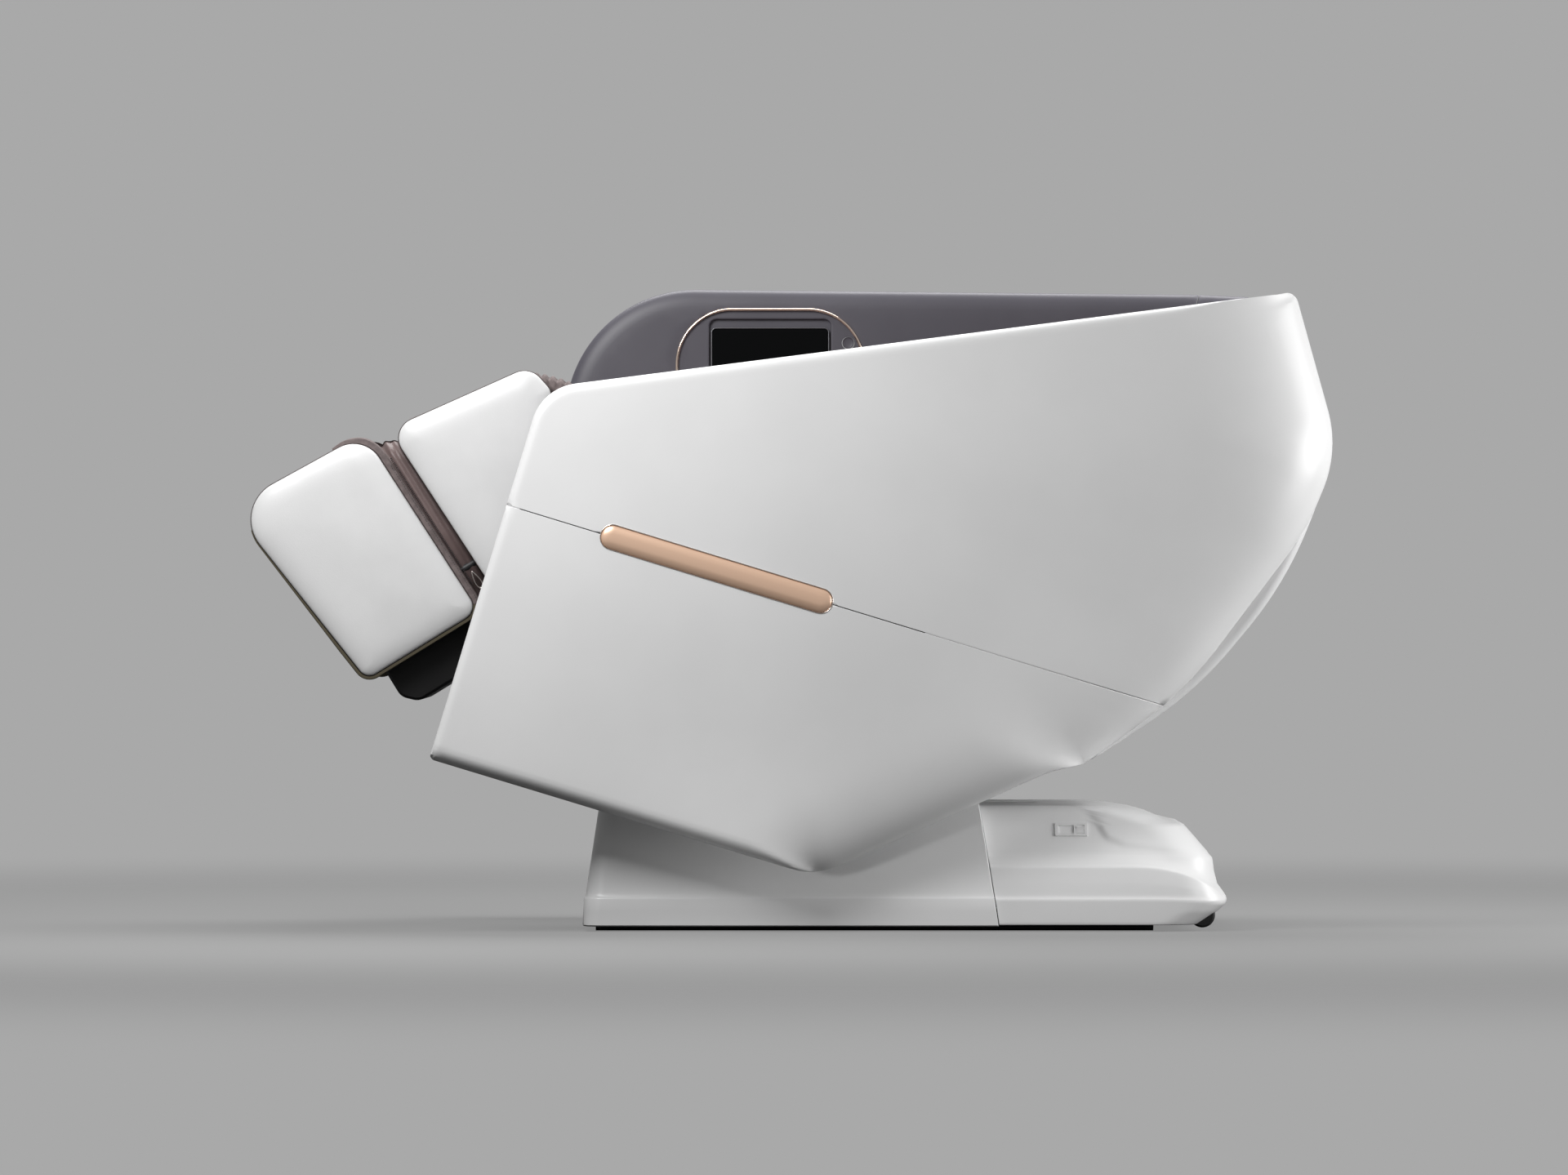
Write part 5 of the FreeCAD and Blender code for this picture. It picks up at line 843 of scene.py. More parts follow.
head_top = stretch_of(head_edge, (456, wing_top(456) - 3), (371.2, wing_top(371.2)))
head_piece = panel("head_panel", head_edge, [], PANEL_STEPS[:-1], 14.0,
                   lambda x, z: INNER + rolled(distance_to(x, z, head_top), 30.0, 13.0), grey_abs, pod,
                   back=outer_face(head_edge, 1), crease=40)
liner_edge = rounded(((LINER_FRONT, LINER_LOW, 20), (440, 410, 60), (440, shell_top(440) - 8, 20),
                      (LINER_FRONT, shell_top(LINER_FRONT) - 8, 66)), 8.0)
left_panel = panel("left_inner_panel", liner_edge, [], PANEL_STEPS[:-1], 18.0,
                   lambda x, z: -INNER - rolled(distance_to(x, z, liner_edge, True), 22.0, 10.0),
                   grey_abs, pod, toward=1, back=outer_face(liner_edge, -1), crease=40)
dress(wing, "pod", "grey_liner", "control_wing")
dress(recess, "pod", "grey_liner")
dress(floor_plate, "pod", "grey_liner")
dress(head_piece, "pod", "grey_liner", "right_head_liner")
dress(left_panel, "pod", "grey_liner", "left_liner")
dress(ring, "pod", "ring_metal", "screen_ring")
dress(screen_frame, "pod", "black_plastic")
dress(button_cap, "button", "grey_liner", "round_button")

# Seat cushion and arm pads: foam blocks in sewn brown leather, the seat with a quilted
# middle and two bolstered sides, each arm pad with an open channel for the forearm.

# Leather: pebbled grain over soft patches of a lighter and a darker brown.
brown_leather = mottled(new_finish("brown_upholstery_leather", "#6B5957", 0.47, Sheen_Weight=0.12), 70,
                        "#756361", "#5F4F4D", 0.3, 0.7)
# The grain's cells are about 2.4 mm, coarser than the hide's own, so that they show.
grained(brown_leather, 2.4, 0.22, "ShaderNodeTexVoronoi")
thread = grained(new_finish("waxed_brown_thread", "#8B7874", 0.6), 0.8, 0.05)


def baked(piece):
    """Turn a piece's modifiers into its plain mesh."""
    depsgraph = bpy.context.evaluated_depsgraph_get()
    mesh = bpy.data.meshes.new_from_object(piece.evaluated_get(depsgraph))
    piece.modifiers.clear()
    piece.data = mesh
    return mesh


def stuffed(piece, frame, low, swell, voxel=5.5):
    """Fill a cushion: an even mesh, blown up as cloth with its underside held, then smoothed."""
    even = piece.modifiers.new("even", "REMESH")
    even.mode, even.voxel_size = "VOXEL", voxel / 1000.0
    soften = piece.modifiers.new("soften", "SMOOTH")
    soften.factor, soften.iterations = 0.5, 4
    mesh = baked(piece)
    inverse = frame.inverted()
    held = piece.vertex_groups.new(name="held")
    held.add([v.index for v in mesh.vertices if (inverse @ v.co).z * 1000.0 < low + 5.0], 1.0, "REPLACE")
    start = [v.co.copy() for v in mesh.vertices]
    cloth = piece.modifiers.new("stuffing", "CLOTH")
    cloth.settings.quality = 3
    cloth.settings.use_pressure = True
    cloth.settings.uniform_pressure_force = 4.0
    cloth.settings.effector_weights.gravity = 0.0
    cloth.settings.vertex_group_mass = "held"
    cloth.point_cache.frame_start, cloth.point_cache.frame_end = 1, 20
    for step in range(1, 21):
        bpy.context.scene.frame_set(step)
    mesh = baked(piece)
    piece.vertex_groups.clear()
    for vertex, origin in zip(mesh.vertices, start):
        moved = vertex.co - origin
        if moved.length > swell / 1000.0:
            vertex.co = origin + moved.normalized() * swell / 1000.0
    bpy.context.scene.frame_set(1)
    settle = piece.modifiers.new("settle", "SMOOTH")
    settle.factor, settle.iterations = 0.5, 3
    finer = piece.modifiers.new("finer", "SUBSURF")
    finer.levels = finer.render_levels = 1
    mesh = baked(piece)
    mesh.polygons.foreach_set("use_smooth", [True] * len(mesh.polygons))
    return piece


def solid_rows(name, rows, finish, frame):
    """A closed body through closed rows of points, capped at both ends."""
    count = len(rows[0])
    points = [point for row in rows for point in row]
    faces = [list(range(count))[::-1], [len(points) - count + k for k in range(count)]]
    for r in range(len(rows) - 1):
        for c in range(count):
            a, b = r * count + c, r * count + (c + 1) % count
            faces.append((a, b, b + count, a + count))
    return piece_from(name, points, faces, finish, frame)


def stations(start, end, corner, spacing):
    """Places along a cushion, close together in its rounded ends."""
    bends = [corner * (1 - math.cos(math.radians(15.0 * k))) for k in range(6)]
    count = max(2, round((end - start - 2 * corner) / spacing))
    middle = [start + corner + (end - start - 2 * corner) * k / count for k in range(count + 1)]
    return [start + bend for bend in bends] + middle + [end - bend for bend in bends[::-1]]


def boxed(name, frame, ends, sides, low, high, corner, finish):
    """A boxed cushion whose top follows high(u, v), rounded by corner along every upper edge."""
    rows = []
    for u in stations(*ends, corner, 9.0):
        near = min(u - ends[0], ends[1] - u, corner)
        pull = corner - math.sqrt(corner ** 2 - (corner - near) ** 2)
        left, right = sides[0] + 0.6 * pull, sides[1] - 0.6 * pull
        row = [(u, left, low + 0.3 * pull), (u, right, low + 0.3 * pull)]
        for v in stations(left, right, corner, 6.0)[::-1]:
            edge = min(v - left, right - v, corner)
            drop = corner - math.sqrt(corner ** 2 - (corner - edge) ** 2)
            row.append((u, v, high(u, v) - max(pull, drop)))
        rows.append(row)
    return solid_rows(name, rows, finish, frame)


def sewn(piece, frame, seams, depth=3.2, width=4.0, floor_level=-1e9):
    """Draw a cushion in along its seams, given as runs of points in its own frame."""
    mesh = piece.data
    where = numpy.empty(3 * len(mesh.vertices))
    mesh.vertices.foreach_get("co", where)
    where = where.reshape(-1, 3)
    outward = numpy.empty(3 * len(mesh.vertices))
    mesh.vertices.foreach_get("normal", outward)
    inverse = numpy.array(frame.inverted())
    own = (where @ inverse[:3, :3].T + inverse[:3, 3]) * 1000.0
    pull = numpy.zeros(len(where))
    for seam in seams:
        starts, ends = runs_of(seam, False)
        near = numpy.full(len(where), 1e9)
        for start, run in zip(starts, ends - starts):
            away = own[:, :2] - start
            share = numpy.clip(away @ run / (run @ run), 0.0, 1.0)
            away = away - share[:, None] * run
            near = numpy.minimum(near, numpy.hypot(away[:, 0], away[:, 1]))
        pull += depth / 1000.0 * numpy.exp(-(near / width) ** 2)
    pull = numpy.minimum(pull, 1.2 * depth / 1000.0) * (own[:, 2] > floor_level)
    mesh.vertices.foreach_set("co", (where - outward.reshape(-1, 3) * pull[:, None]).ravel())
    mesh.update()
    return piece


row_tree = bpy.data.node_groups.new("row_of_stitches", "GeometryNodeTree")
for label, kind in (("Line", "Geometry"), ("Pitch", "Float"), ("Length", "Float"), ("Width", "Float"),
                    ("Finish", "Material")):
    row_tree.interface.new_socket(label, in_out="INPUT", socket_type="NodeSocket" + kind)
row_tree.interface.new_socket("Row", in_out="OUTPUT", socket_type="NodeSocketGeometry")
given = put(row_tree, "NodeGroupInput")
curve = put(row_tree, "GeometryNodeMeshToCurve", wires={0: given.outputs["Line"]})
spots = put(row_tree, "GeometryNodeCurveToPoints", wires={"Curve": curve.outputs[0],
            "Length": given.outputs["Pitch"]}, mode="LENGTH")
turn = put(row_tree, "FunctionNodeAlignRotationToVector", wires={"Vector": spots.outputs["Tangent"]},
           axis="Z")
bead = put(row_tree, "GeometryNodeMeshUVSphere", {"Segments": 6, "Rings": 4, "Radius": 0.5})
size = put(row_tree, "ShaderNodeCombineXYZ", wires={0: given.outputs["Width"], 1: given.outputs["Width"],
                                                    2: given.outputs["Length"]})
each = put(row_tree, "GeometryNodeInstanceOnPoints", wires={
    "Points": spots.outputs["Points"], "Instance": bead.outputs[0], "Rotation": turn.outputs[0],
    "Scale": size.outputs[0]})
real = put(row_tree, "GeometryNodeRealizeInstances", wires={0: each.outputs[0]})
finished = put(row_tree, "GeometryNodeSetMaterial", wires={"Geometry": real.outputs[0],
                                                         "Material": given.outputs["Finish"]})
put(row_tree, "NodeGroupOutput", wires={0: finished.outputs[0]})


def row_of(name, lines, pitch, length, width, finish):
    """Stitches, teeth or holes in rows along lines of points, all in millimetres."""
    points, edges = [], []
    for line in lines:
        first = len(points)
        points += line
        edges += [(first + k, first + k + 1) for k in range(len(line) - 1)]
    mesh = bpy.data.meshes.new(name)
    mesh.from_pydata(points, edges, [])
    piece = bpy.data.objects.new(name, mesh)
    bpy.context.scene.collection.objects.link(piece)
    modifier = piece.modifiers.new("row", "NODES")
    modifier.node_group = row_tree
    values = {"Pitch": pitch / 1000.0, "Length": length / 1000.0, "Width": width / 1000.0, "Finish": finish}
    for item in row_tree.interface.items_tree:
        if item.in_out == "INPUT" and item.name in values:
            modifier[item.identifier] = values[item.name]
    mesh = baked(piece)
    mesh.polygons.foreach_set("use_smooth", [True] * len(mesh.polygons))
    return piece


def over(tree, frame, line, lift, spacing=4.0):
    """A line of points in a frame, laid on a cushion's top, back in the chair's frame."""
    down = frame.to_3x3() @ Vector((0, 0, -1))
    laid = []
    for (u0, v0), (u1, v1) in zip(line, line[1:]):
        steps = max(1, round(math.hypot(u1 - u0, v1 - v0) / spacing))
        for k in range(steps + (1 if (u1, v1) == line[-1] else 0)):
            start = frame @ (Vector((u0 + (u1 - u0) * k / steps, v0 + (v1 - v0) * k / steps, 300.0)) / 1000.0)
            spot, normal, _, _ = tree.ray_cast(start, down)
            if spot:
                laid.append(spot + normal * lift / 1000.0)
    return laid


def beside(seam, offset):
    """The line at one side of a seam."""
    line = []
    for k, (u, v) in enumerate(seam):
        (ua, va), (ub, vb) = seam[max(k - 1, 0)], seam[min(k + 1, len(seam) - 1)]
        length = math.hypot(ub - ua, vb - va)
        line.append((u - (vb - va) / length * offset, v + (ub - ua) / length * offset))
    return line


def upholstered(name, body, slot, piece, frame, seams, nodes_for, depth=3.2, floor_level=-1e9):
    """Sew a stuffed cushion along its seams, with a row of stitches at each side of each seam."""
    sewn(piece, frame, seams, depth, floor_level=floor_level)
    tree = BVHTree.FromPolygons([v.co for v in piece.data.vertices],
                                [tuple(p.vertices) for p in piece.data.polygons])
    rows = [over(tree, frame, beside(seam, side), 0.1) for seam in seams for side in (-3.6, 3.6)]
    rows = [row for row in rows if len(row) > 1]
    dress(piece, body, slot, *nodes_for)
    if rows:
        dress(row_of(name + "_stitches", rows, 5.0, 3.4, 0.9, thread), body, slot)
    return piece


seat = pod @ placed(-395.0, 340.0, 13.2)


def seat_top(u, v):
    thigh = 5.0 * math.exp(-((abs(v) - 95.0) / 55.0) ** 2)
    return -9.0 - thigh - 4.0 * (u / 355.0) + 5.0 * min(1.0, abs(v) / 214.0) ** 6


seat_pad = boxed("seat_cushion_leather", seat, (3.0, 352.0), (-210.0, 210.0), -78.0, seat_top, 24.0,
                 brown_leather)
stuffed(seat_pad, seat, -78.0, 11.0)
SEAT_SEAMS = [[(30.0, -150.0), (330.0, -146.0)], [(30.0, 150.0), (330.0, 146.0)]]
for cross in (95.0, 165.0, 235.0, 300.0):
    SEAT_SEAMS.append([(cross + 10.0 * (1 - (v / 146.0) ** 2), v) for v in range(-146, 147, 12)])
upholstered("seat", "pod", "brown_leather", seat_pad, seat, SEAT_SEAMS, ["seat_cushion"],
            floor_level=-40.0)
welt = new_finish("dark_leather_piping", "#3E3433", 0.5)


def arm_top(a, v):
    line = 372.0 + (a + 396.0) * 60.0 / 322.0
    end = min(1.0, max(0.0, (-104.0 - a) / 22.0))
    share = max(0.0, 1 - (abs(v + 265.0) / 33.0) ** 4) * end
    return line - 50.0 * share


def upholstered_pair(name, body, left, frame, seams, node, depth, floor_level):
    """Sew a stuffed cushion and its mirror image on the chair's other side."""
    right = other_side(f"right_{name}_leather", left)
    for side, piece, way in (("left", left, 1), ("right", right, -1)):
        own_seams = [[(u, way * v) for u, v in seam] for seam in seams]
        upholstered(f"{side}_{name}", body, "brown_leather", piece, frame, own_seams, [f"{side}_{node}"],
                    depth, floor_level)


left_arm = boxed("left_arm_leather", pod, (-393.0, -77.0), (-309.0, -221.0), 287.0, arm_top, 12.0,
                 brown_leather)
stuffed(left_arm, pod, 287.0, 5.0, 5.0)
ARM_SEAMS = [[(-380.0, side), (-128.0, side)] for side in (-284.0, -246.0)]
upholstered_pair("arm", "pod", left_arm, pod, ARM_SEAMS, "arm_pad", 2.0, 330.0)

# Backrest: a white ABS back cover that wraps the welded frame, a long sewn leather pad
# with a quilted middle, two side bolsters that rise at the shoulders, and a head pillow
# that hangs over the top on its flap.
back = placed(-98.3, 544.2, -28.7)
COVER_CORNERS = ((398, 80, 2), (515, 218, 760), (598, 415, 560), (616, 626, 350), (484, 826, 15),
                 (400, 788, 2))
cover_path = stretch_of(rounded(COVER_CORNERS, 7.0), (398, 80), (400, 788))
COVER_HALF, COVER_ROLL = 296.5, 9.0


def cover_row(y):
    """One profile of the back cover, drawn in a little toward its rolled sides."""
    share = abs(y) / COVER_HALF
    edge = max(0.0, abs(y) - COVER_HALF + COVER_ROLL)
    inset = 2.0 * share ** 2 + COVER_ROLL - math.sqrt(max(0.0, COVER_ROLL ** 2 - edge ** 2))
    return inset_path(y, inset)


def inset_path(y, inset):
    """The cover's profile drawn inward, without the loop that a tight corner would give."""
    row = []
    for k, (x, z) in enumerate(cover_path):
        (xa, za), (xb, zb) = cover_path[max(k - 1, 0)], cover_path[min(k + 1, len(cover_path) - 1)]
        length = math.hypot(xb - xa, zb - za)
        x, z = x - (zb - za) / length * inset, z + (xb - xa) / length * inset
        crossed = row and distance_to(x, z, cover_path) < inset - 0.5
        row.append(row[-1] if crossed else (x, y, z))
    return row


across_face = [COVER_HALF * k / 14.0 for k in range(14)]
round_roll = [COVER_HALF - COVER_ROLL + COVER_ROLL * math.sin(math.radians(9.0 * k)) for k in range(11)]
spread = sorted({round(v, 3) for v in across_face + round_roll})
rows = [cover_row(-v) for v in spread[::-1]] + [cover_row(v) for v in spread[1:]]
LIP_MIDDLE, LIP_WIDTH = 30.0, 48.0
rows = [inset_path(-COVER_HALF, LIP_WIDTH), inset_path(-COVER_HALF, LIP_MIDDLE)] + rows
rows += [inset_path(COVER_HALF, LIP_MIDDLE), inset_path(COVER_HALF, LIP_WIDTH)]
back_shell = skinned("back_cover_shell", rows, white_paint, pod, wall=2.6, crease=35)
dress(back_shell, "backrest", "white_shell", "back_cover")


def pad_top(u, v):
    waist = 7.0 * math.exp(-((u - 250.0) / 130.0) ** 2)
    track = 4.0 * math.exp(-((abs(v) - 78.0) / 26.0) ** 2)
    return -11.0 + waist * (1 - (v / 212.0) ** 2) - track + 4.0 * (abs(v) / 212.0) ** 4


back_leather = boxed("back_pad_leather", back, (18.0, 719.0), (-209.0, 209.0), -49.0, pad_top, 18.0,
                     brown_leather)
stuffed(back_leather, back, -49.0, 10.0, 6.0)
BACK_SEAMS = [[(45.0, -118.0), (300.0, -112.0), (540.0, -122.0), (700.0, -122.0)],
              [(45.0, 118.0), (300.0, 112.0), (540.0, 122.0), (700.0, 122.0)]]
for cross in range(105, 500, 75):
    BACK_SEAMS.append([(cross + 12.0 * (1 - (v / 114.0) ** 2), v) for v in range(-114, 115, 12)])
upholstered("back", "backrest", "brown_leather", back_leather, back, BACK_SEAMS, ["back_pad"],
            floor_level=-25.0)


def pillow_top(u, v):
    return 21.0 - 5.0 * math.exp(-((u - 630.0) / 40.0) ** 2 - (v / 70.0) ** 2)


pillow = boxed("head_pillow_leather", back, (563.0, 697.0), (-127.0, 127.0), 3.0, pillow_top, 10.0,
               brown_leather)
stuffed(pillow, back, 1.0, 6.0, 4.5)
PILLOW_SEAMS = [[(578.0, -112.0), (682.0, -112.0)], [(578.0, 112.0), (682.0, 112.0)]]
upholstered("pillow", "backrest", "brown_leather", pillow, back, PILLOW_SEAMS, ["head_pillow"], 2.0)
flap_line = ((690.0, 7.0), (697.0, -4.0), (703.0, -9.0), (710.0, -11.5), (716.0, -17.0), (720.6, -26.0),
             (721.6, -44.0))
flap_rows = [[(u, v, w) for v in range(-100, 101, 10)] for u, w in flap_line]
flap = skinned("pillow_flap", flap_rows, brown_leather, back, wall=1.6, crease=60, flip=True)
dress(flap, "backrest", "brown_leather")


def bolster_top(u, v):
    rise = min(max((u - 320.0) / 130.0, 0.0), 1.0)
    rise = rise * rise * (3 - 2 * rise)
    fall = min(max((u - 590.0) / 50.0, 0.0), 1.0)
    return -14.0 + 74.0 * rise - 20.0 * fall ** 2


left_bolster = boxed("left_bolster_leather", back, (113.0, 637.0), (-295.0, -219.0), -48.0,
                     bolster_top, 20.0, brown_leather)
stuffed(left_bolster, back, -48.0, 5.0)
BOLSTER_SEAMS = [[(cross, -285.0), (cross, -228.0)] for cross in (230.0, 330.0, 430.0, 530.0)]
upholstered_pair("bolster", "backrest", left_bolster, back, BOLSTER_SEAMS, "shoulder_bolster", 2.4, -30.0)

# Massage carriage: cast aluminium arms on a turned kneading shaft, with nylon rollers,
# driven along two extruded rails behind the pad.

# Extruded aluminium: pale metal with fine die lines along its length.
rail_aluminium = grained(new_finish("extruded_aluminium", "#B4B6B8", 0.38, Metallic=1.0), 4.0, 0.02,
                         stretch=(1, 24, 24))
# Cast nylon: ivory white, waxy, with a soft highlight.
roller_nylon = grained(new_finish("cast_nylon", "#D9D5C8", 0.42, Subsurface_Weight=0.1), 1.5, 0.02)
wear(rail_aluminium, "track_rails", "left_massage_arm", "right_massage_arm")
wear(roller_nylon, "left_lower_roller", "left_upper_roller", "right_lower_roller", "right_upper_roller",
     "sole_roller")

# Leg unit: two padded blocks in brown leather with a trough for each leg, closed at the
# sides by crowned pads in white leather with dark piping. The foot block slides out of
# the calf block on two rods; one sleeve bridges that gap, another reaches over the knee.
leg = placed(-506.3, 605.2, -31.6)

# Coated leather: brilliant white, finer grained and a little glossier than the brown.
white_leather = grained(mottled(new_finish("white_coated_leather", "#E6E6E6", 0.4, Coat_Weight=0.1), 90,
                                "#E8E8E8", "#E3E3E3"), 1.6, 0.05, "ShaderNodeTexVoronoi")
# Woven elastic: the dull taupe of the foot block's tape and of the knee sleeve.
taupe_tape = grained(mottled(new_finish("taupe_woven_tape", "#6C605F", 0.75), 8, "#766A69", "#605554"),
                     1.2, 0.15)
edge_tape = grained(new_finish("olive_edge_tape", "#57503F", 0.6), 1.5, 0.08)
# Dark moulded zip teeth; the same dark finish on the tape's holes is painted shade of the openings.
teeth_and_hole_shade = new_finish("zip_teeth_and_painted_hole_shade", "#2A2526", 0.4)
CALF = ((-143, -43, 20), (-110, -43, 10), (60, 140, 20), (84, 180, 20), (76, 226, 44), (-151, 256, 30))
FOOT = ((-374, -43, 18), (-180, -43, 20), (-187, 270, 45), (-413, 281, 60))
PAD_IN, PAD_OUT = 218.0, 245.0


def side_pad(name, corners):
    """A white side pad: a broad crown that rolls down to its piped edge."""
    edge = rounded(corners, 7.0)

    def face(x, z):
        near = distance_to(x, z, edge, True)
        return -PAD_OUT + 1.6 + rolled(near, 36.0, 10.0) - 2.6 * min(near / 100.0, 1.0)
    return panel(name, edge, [], (0.5, 1.4, 3.0, 5.5, 9.0, 14.0, 20.0, 27.0, 35.0, 46.0), 14.0, face,
                 white_leather, leg, rim=lambda x, z: -PAD_IN, crease=60)


def grown(path, offset, closed=True):
    """An outline moved outward."""
    count = len(path)
    area = sum(path[k][0] * path[(k + 1) % count][1] - path[(k + 1) % count][0] * path[k][1]
               for k in range(count))
    turn = 1 if area > 0 else -1
    moved = []
    for k, (x, z) in enumerate(path):
        (xa, za) = path[k - 1] if k or closed else path[k]
        (xb, zb) = path[(k + 1) % count] if k < count - 1 or closed else path[k]
        length = math.hypot(xb - xa, zb - za) or 1.0
        moved.append((x + (zb - za) / length * offset * turn, z - (xb - xa) / length * offset * turn))
    return moved


for name, corners, body in (("calf", CALF, "calf_unit"), ("foot", FOOT, "foot_unit")):
    pad = side_pad(f"left_{name}_side", corners)
    piping_line = [(x, -PAD_IN - 8.0, z) for x, z in grown(rounded(corners, 5.0), 0.5)]
    piping = tube(f"left_{name}_piping", piping_line, 1.0, welt, leg, True, 8)
    for side, piece, cord in (("left", pad, piping),
                              ("right", other_side(f"right_{name}_side", pad),
                               other_side(f"right_{name}_piping", piping))):
        dress(piece, body, "white_leather", f"{side}_{name}_pad")
        dress(cord, body, "brown_leather")


def reach_at(path, x, highest):
    """The height of a closed outline's upper or lower side at x."""
    found = []
    for (x0, z0), (x1, z1) in zip(path, path[1:] + path[:1]):
        if min(x0, x1) <= x <= max(x0, x1) and x0 != x1:
            found.append(z0 + (x - x0) / (x1 - x0) * (z1 - z0))
    return (max(found) if highest else min(found)) if found else None


TROUGH_Y, BLOCK_HALF = 108.0, 217.0


def trough_half(low, top, bottom, half, width, share, edge):
    """Half a section of a leg block, from its middle to its side: ridge, trough, outer wall."""
    radius, brow = width / 2, 15.0
    inner, outer = TROUGH_Y - radius, TROUGH_Y + radius
    half_row = [(inner * k / 4.0, top - dent) for k, dent in enumerate((2.5, 1.2, 0.0, 0.0))]
    dip = arc(inner - brow, top - brow, brow, 90, -90, 5)
    dip += [(inner, top - brow + (bottom + radius - top + brow) * k / 6.0) for k in range(1, 6)]
    dip += arc(TROUGH_Y, bottom + radius, radius, 180, 180, 16)
    dip += [(outer, bottom + radius + (top - brow - bottom - radius) * k / 6.0) for k in range(1, 6)]
    dip += arc(outer + brow, top - brow, brow, 180, -90, 5)
    dip = [(y, top - (top - w) * share) for y, w in dip]
    wall = [(half, low + 0.5 * (top - edge - low)), (half, low)]
    return half_row + dip + arc(half - edge, top - edge, edge, 90, -90, 6) + wall


def trough_row(s, low, top, bottom, half, width, share=1.0, edge=20.0):
    """A closed section of a leg block across both troughs."""
    half_row = trough_half(low, top, bottom, half, width, share, edge)
    row = [(s, y, w) for y, w in half_row]
    mirror = [(s, -y, w) for y, w in half_row[::-1]]
    return mirror + row[1:]


def block_rows(outline, start, end, bottom_at, width):
    """Sections of a leg block from one end to the other, drawn in round both ends."""
    rows = []
    for s in stations(start, end, 12.0, 8.0):
        top, low = reach_at(outline, s, True), reach_at(outline, s, False)
        if top is None or top - low < 50.0:
            continue
        near = min(s - start, end - s, 12.0)
        pull = 12.0 - math.sqrt(144.0 - (12.0 - near) ** 2)
        bottom = bottom_at(s)
        full = bottom_at(0.5 * (start + end))
        share = min(max((top - bottom) / (top - full), 0.02), 1.0)
        rows.append(trough_row(s, low + 1.0, top - 0.6 * pull, full, BLOCK_HALF - 0.4 * pull, width, share))
    return rows


calf_block_edge = rounded(((-150, 40, 4), (48, 40, 10), (84, 180, 20), (76, 231, 44), (-151, 261, 30)), 4.0)
calf_rows = block_rows(calf_block_edge, -149.0, 82.0, lambda s: 90.0, 118.0)
calf_block = solid_rows("calf_block_leather", calf_rows, brown_leather, leg)
stuffed(calf_block, leg, 46.0, 3.0, 6.0)
CALF_SEAMS = [[(-142.0, side * v), (66.0, side * v)] for side in (-1, 1) for v in (34.0, 182.0, 209.0)]
upholstered("calf_block", "calf_unit", "brown_leather", calf_block, leg, CALF_SEAMS, ["calf_wells"], 2.2,
            180.0)
foot_block_edge = rounded(((-373, -39, 8), (-180, -39, 2), (-187, 275, 45), (-413, 286, 60)), 4.0)


def boot_bottom(s):
    """The boot's floor, which climbs to the top along the sole wall."""
    return 8.0 + max(0.0, (-357.0 - s) / 0.0985)


foot_rows = block_rows(foot_block_edge, -403.0, -182.0, boot_bottom, 114.0)
foot_block = solid_rows("foot_block_leather", foot_rows, brown_leather, leg)
stuffed(foot_block, leg, -33.0, 3.0, 6.0)
FOOT_SEAMS = [[(-372.0, side * v), (-190.0, side * v)] for side in (-1, 1) for v in (34.0, 182.0, 209.0)]
upholstered("foot_block", "foot_unit", "brown_leather", foot_block, leg, FOOT_SEAMS, ["foot_wells"], 2.2,
            180.0)

# The sleeve between the blocks: thin leather in three shallow pleats. On the chair it stretches
# with the foot block; here it is built in one fixed shape.
sleeve_rows = []
for k in range(33):
    s = -186.0 + 39.0 * k / 32.0
    share = k / 32.0
    fold = 6.0 + 0.9 * math.cos(math.tau * 3 * share)
    crown = 243.0 - 4.0 * share + 10.0 * math.sin(math.pi * share)
    sleeve_rows.append(trough_row(s, -38.0, crown - fold, 8.0 + 82.0 * share - fold,
                                  BLOCK_HALF - fold, 114.0 + 4.0 * share + 2 * fold, edge=34.0))
sleeve = skinned("leg_sleeve", sleeve_rows, brown_leather, leg, wall=1.2, crease=60, flip=True)
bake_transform(sleeve)

# Tape, zip and edge band on the foot block's rear edge, on both sides of the leg unit.
foot_path = rounded(FOOT, 5.0)
rear_path = stretch_of(foot_path, (-181, -30), (-240, 273))


def side_strip(name, path, profile, finish):
    """A strip whose section is given as pairs of offset from a path and y."""
    rows = [[] for _ in path]
    line = grown(path, 1.0, False)
    for offset_at, y in profile:
        for k, ((x, z), (xo, zo)) in enumerate(zip(path, line)):
            offset = offset_at(k / (len(path) - 1))
            rows[k].append((x + (xo - x) * offset, y, z + (zo - z) * offset))
    return skinned(name, rows, finish, leg, crease=50)


def tape_reach(full):
    return lambda share: full * min(1.0, (1.0 - share) / 0.22 + 0.35)


tape = side_strip("left_foot_tape", rear_path, [
    (tape_reach(full), y) for full, y in ((0.3, -219.0), (0.8, -226.0), (2.0, -228.4), (6.0, -229.0),
                                          (10.0, -228.4), (11.4, -226.0), (12.0, -218.0))], taupe_tape)
band_path = stretch_of(foot_path, (-410, 240), (-181, -30))


def band_reach(full):
    return lambda share: full * (0.35 + 0.65 * min(1.0, share / 0.45))


band = side_strip("left_foot_edge_band", band_path, [
    (band_reach(full), y) for full, y in ((0.2, -217.5), (5.0, -218.0), (6.0, -220.0), (6.0, -233.0),
                                          (5.0, -235.4), (1.0, -236.0))], edge_tape)


def beside_foot(start, end, offset, y):
    """A line along the foot pad's rear edge, moved out by an offset, in the chair's frame."""
    line = grown(stretch_of(foot_path, start, end), offset, False)
    return [leg @ (Vector((x, y, z)) / 1000) for x, z in line]


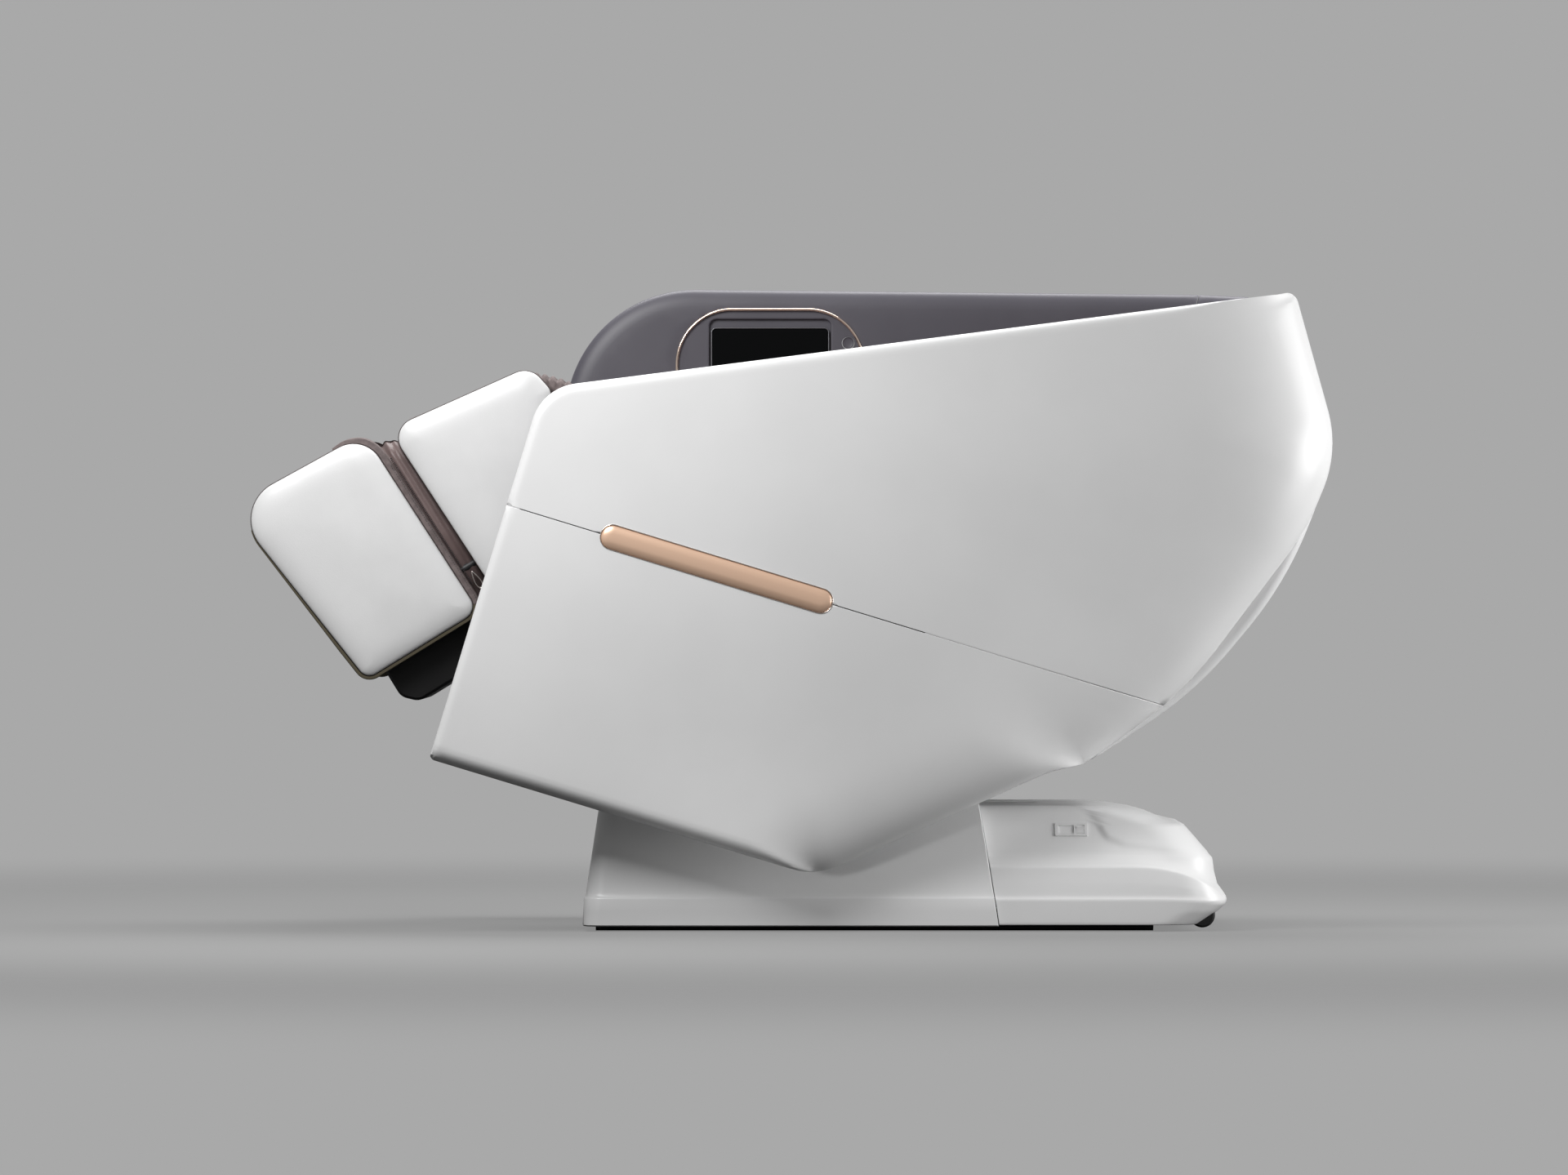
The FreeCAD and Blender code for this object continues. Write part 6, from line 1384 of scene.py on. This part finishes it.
teeth = row_of("left_zip_teeth", [beside_foot((-182, -5), (-188, 220), 14.6, -222.5)], 2.7, 1.7, 3.6,
               teeth_and_hole_shade)
# The tape's holes are raised dark beads: their colour is painted shade standing for the shade inside each
# hole.
holes = row_of("left_tape_holes", [beside_foot((-181, -25), (-186, 210), 8.6, -229.0)], 3.6, 1.8, 1.3,
               teeth_and_hole_shade)
pull_path = []
for k in range(28):
    turn = math.tau * k / 28
    pull_path.append((-157.0 + 6.4 * math.sin(turn) * (0.66 - 0.34 * math.cos(turn)), -224.5,
                      -2.0 + 14.0 * math.cos(turn)))
pull = tube("left_zip_pull", pull_path, 1.0, bright_bead, leg, True)
for piece, label, slot in ((tape, "foot_tape", "brown_leather"), (band, "foot_edge_band", "brown_leather"),
                           (teeth, "zip_teeth", "black_plastic"), (holes, "tape_holes", "black_plastic"),
                           (pull, "zip_pull", "ring_metal")):
    twin = other_side("right_" + label, piece)
    dress(piece, "foot_unit", slot)
    dress(twin, "foot_unit", slot)

# The knee sleeve: woven tape in narrow folds. On the chair they fan open as the leg unit drops;
# here they are built in one fixed shape. It runs from the calf block's rear edge toward the seat
# and stops short of the cushion.
knee_rows = []
KNEE_FOLDS = 17
for k in range(KNEE_FOLDS * 6 + 1):
    share = k / (KNEE_FOLDS * 6)
    angle = math.radians(76.0 - 53.0 * share)
    fold = 2.4 * math.cos(math.tau * KNEE_FOLDS * share)
    outer_row, inner_row = [], []
    for n in range(55):
        y = -214.0 + 428.0 * n / 54
        dip = math.sqrt(max(0.0, 1 - (abs(abs(y) - TROUGH_Y) / 60.0) ** 2.6))
        fall = 6.0 * max(0.0, (abs(y) - 206.0) / 8.0) ** 2
        radius = 234.0 - 74.0 * share - 118.0 * dip * (1 - share) ** 1.4 + fold * (1 - 0.5 * dip) - fall
        outer_row.append((radius * math.cos(angle), y, radius * math.sin(angle)))
        if n in (0, 54):
            inner_row.append(((radius - 20.0) * math.cos(angle), y, (radius - 20.0) * math.sin(angle)))
    knee_rows.append([inner_row[0]] + outer_row + [inner_row[1]])
knee = skinned("knee_sleeve", knee_rows, taupe_tape, leg, wall=1.2, crease=60)
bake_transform(knee)
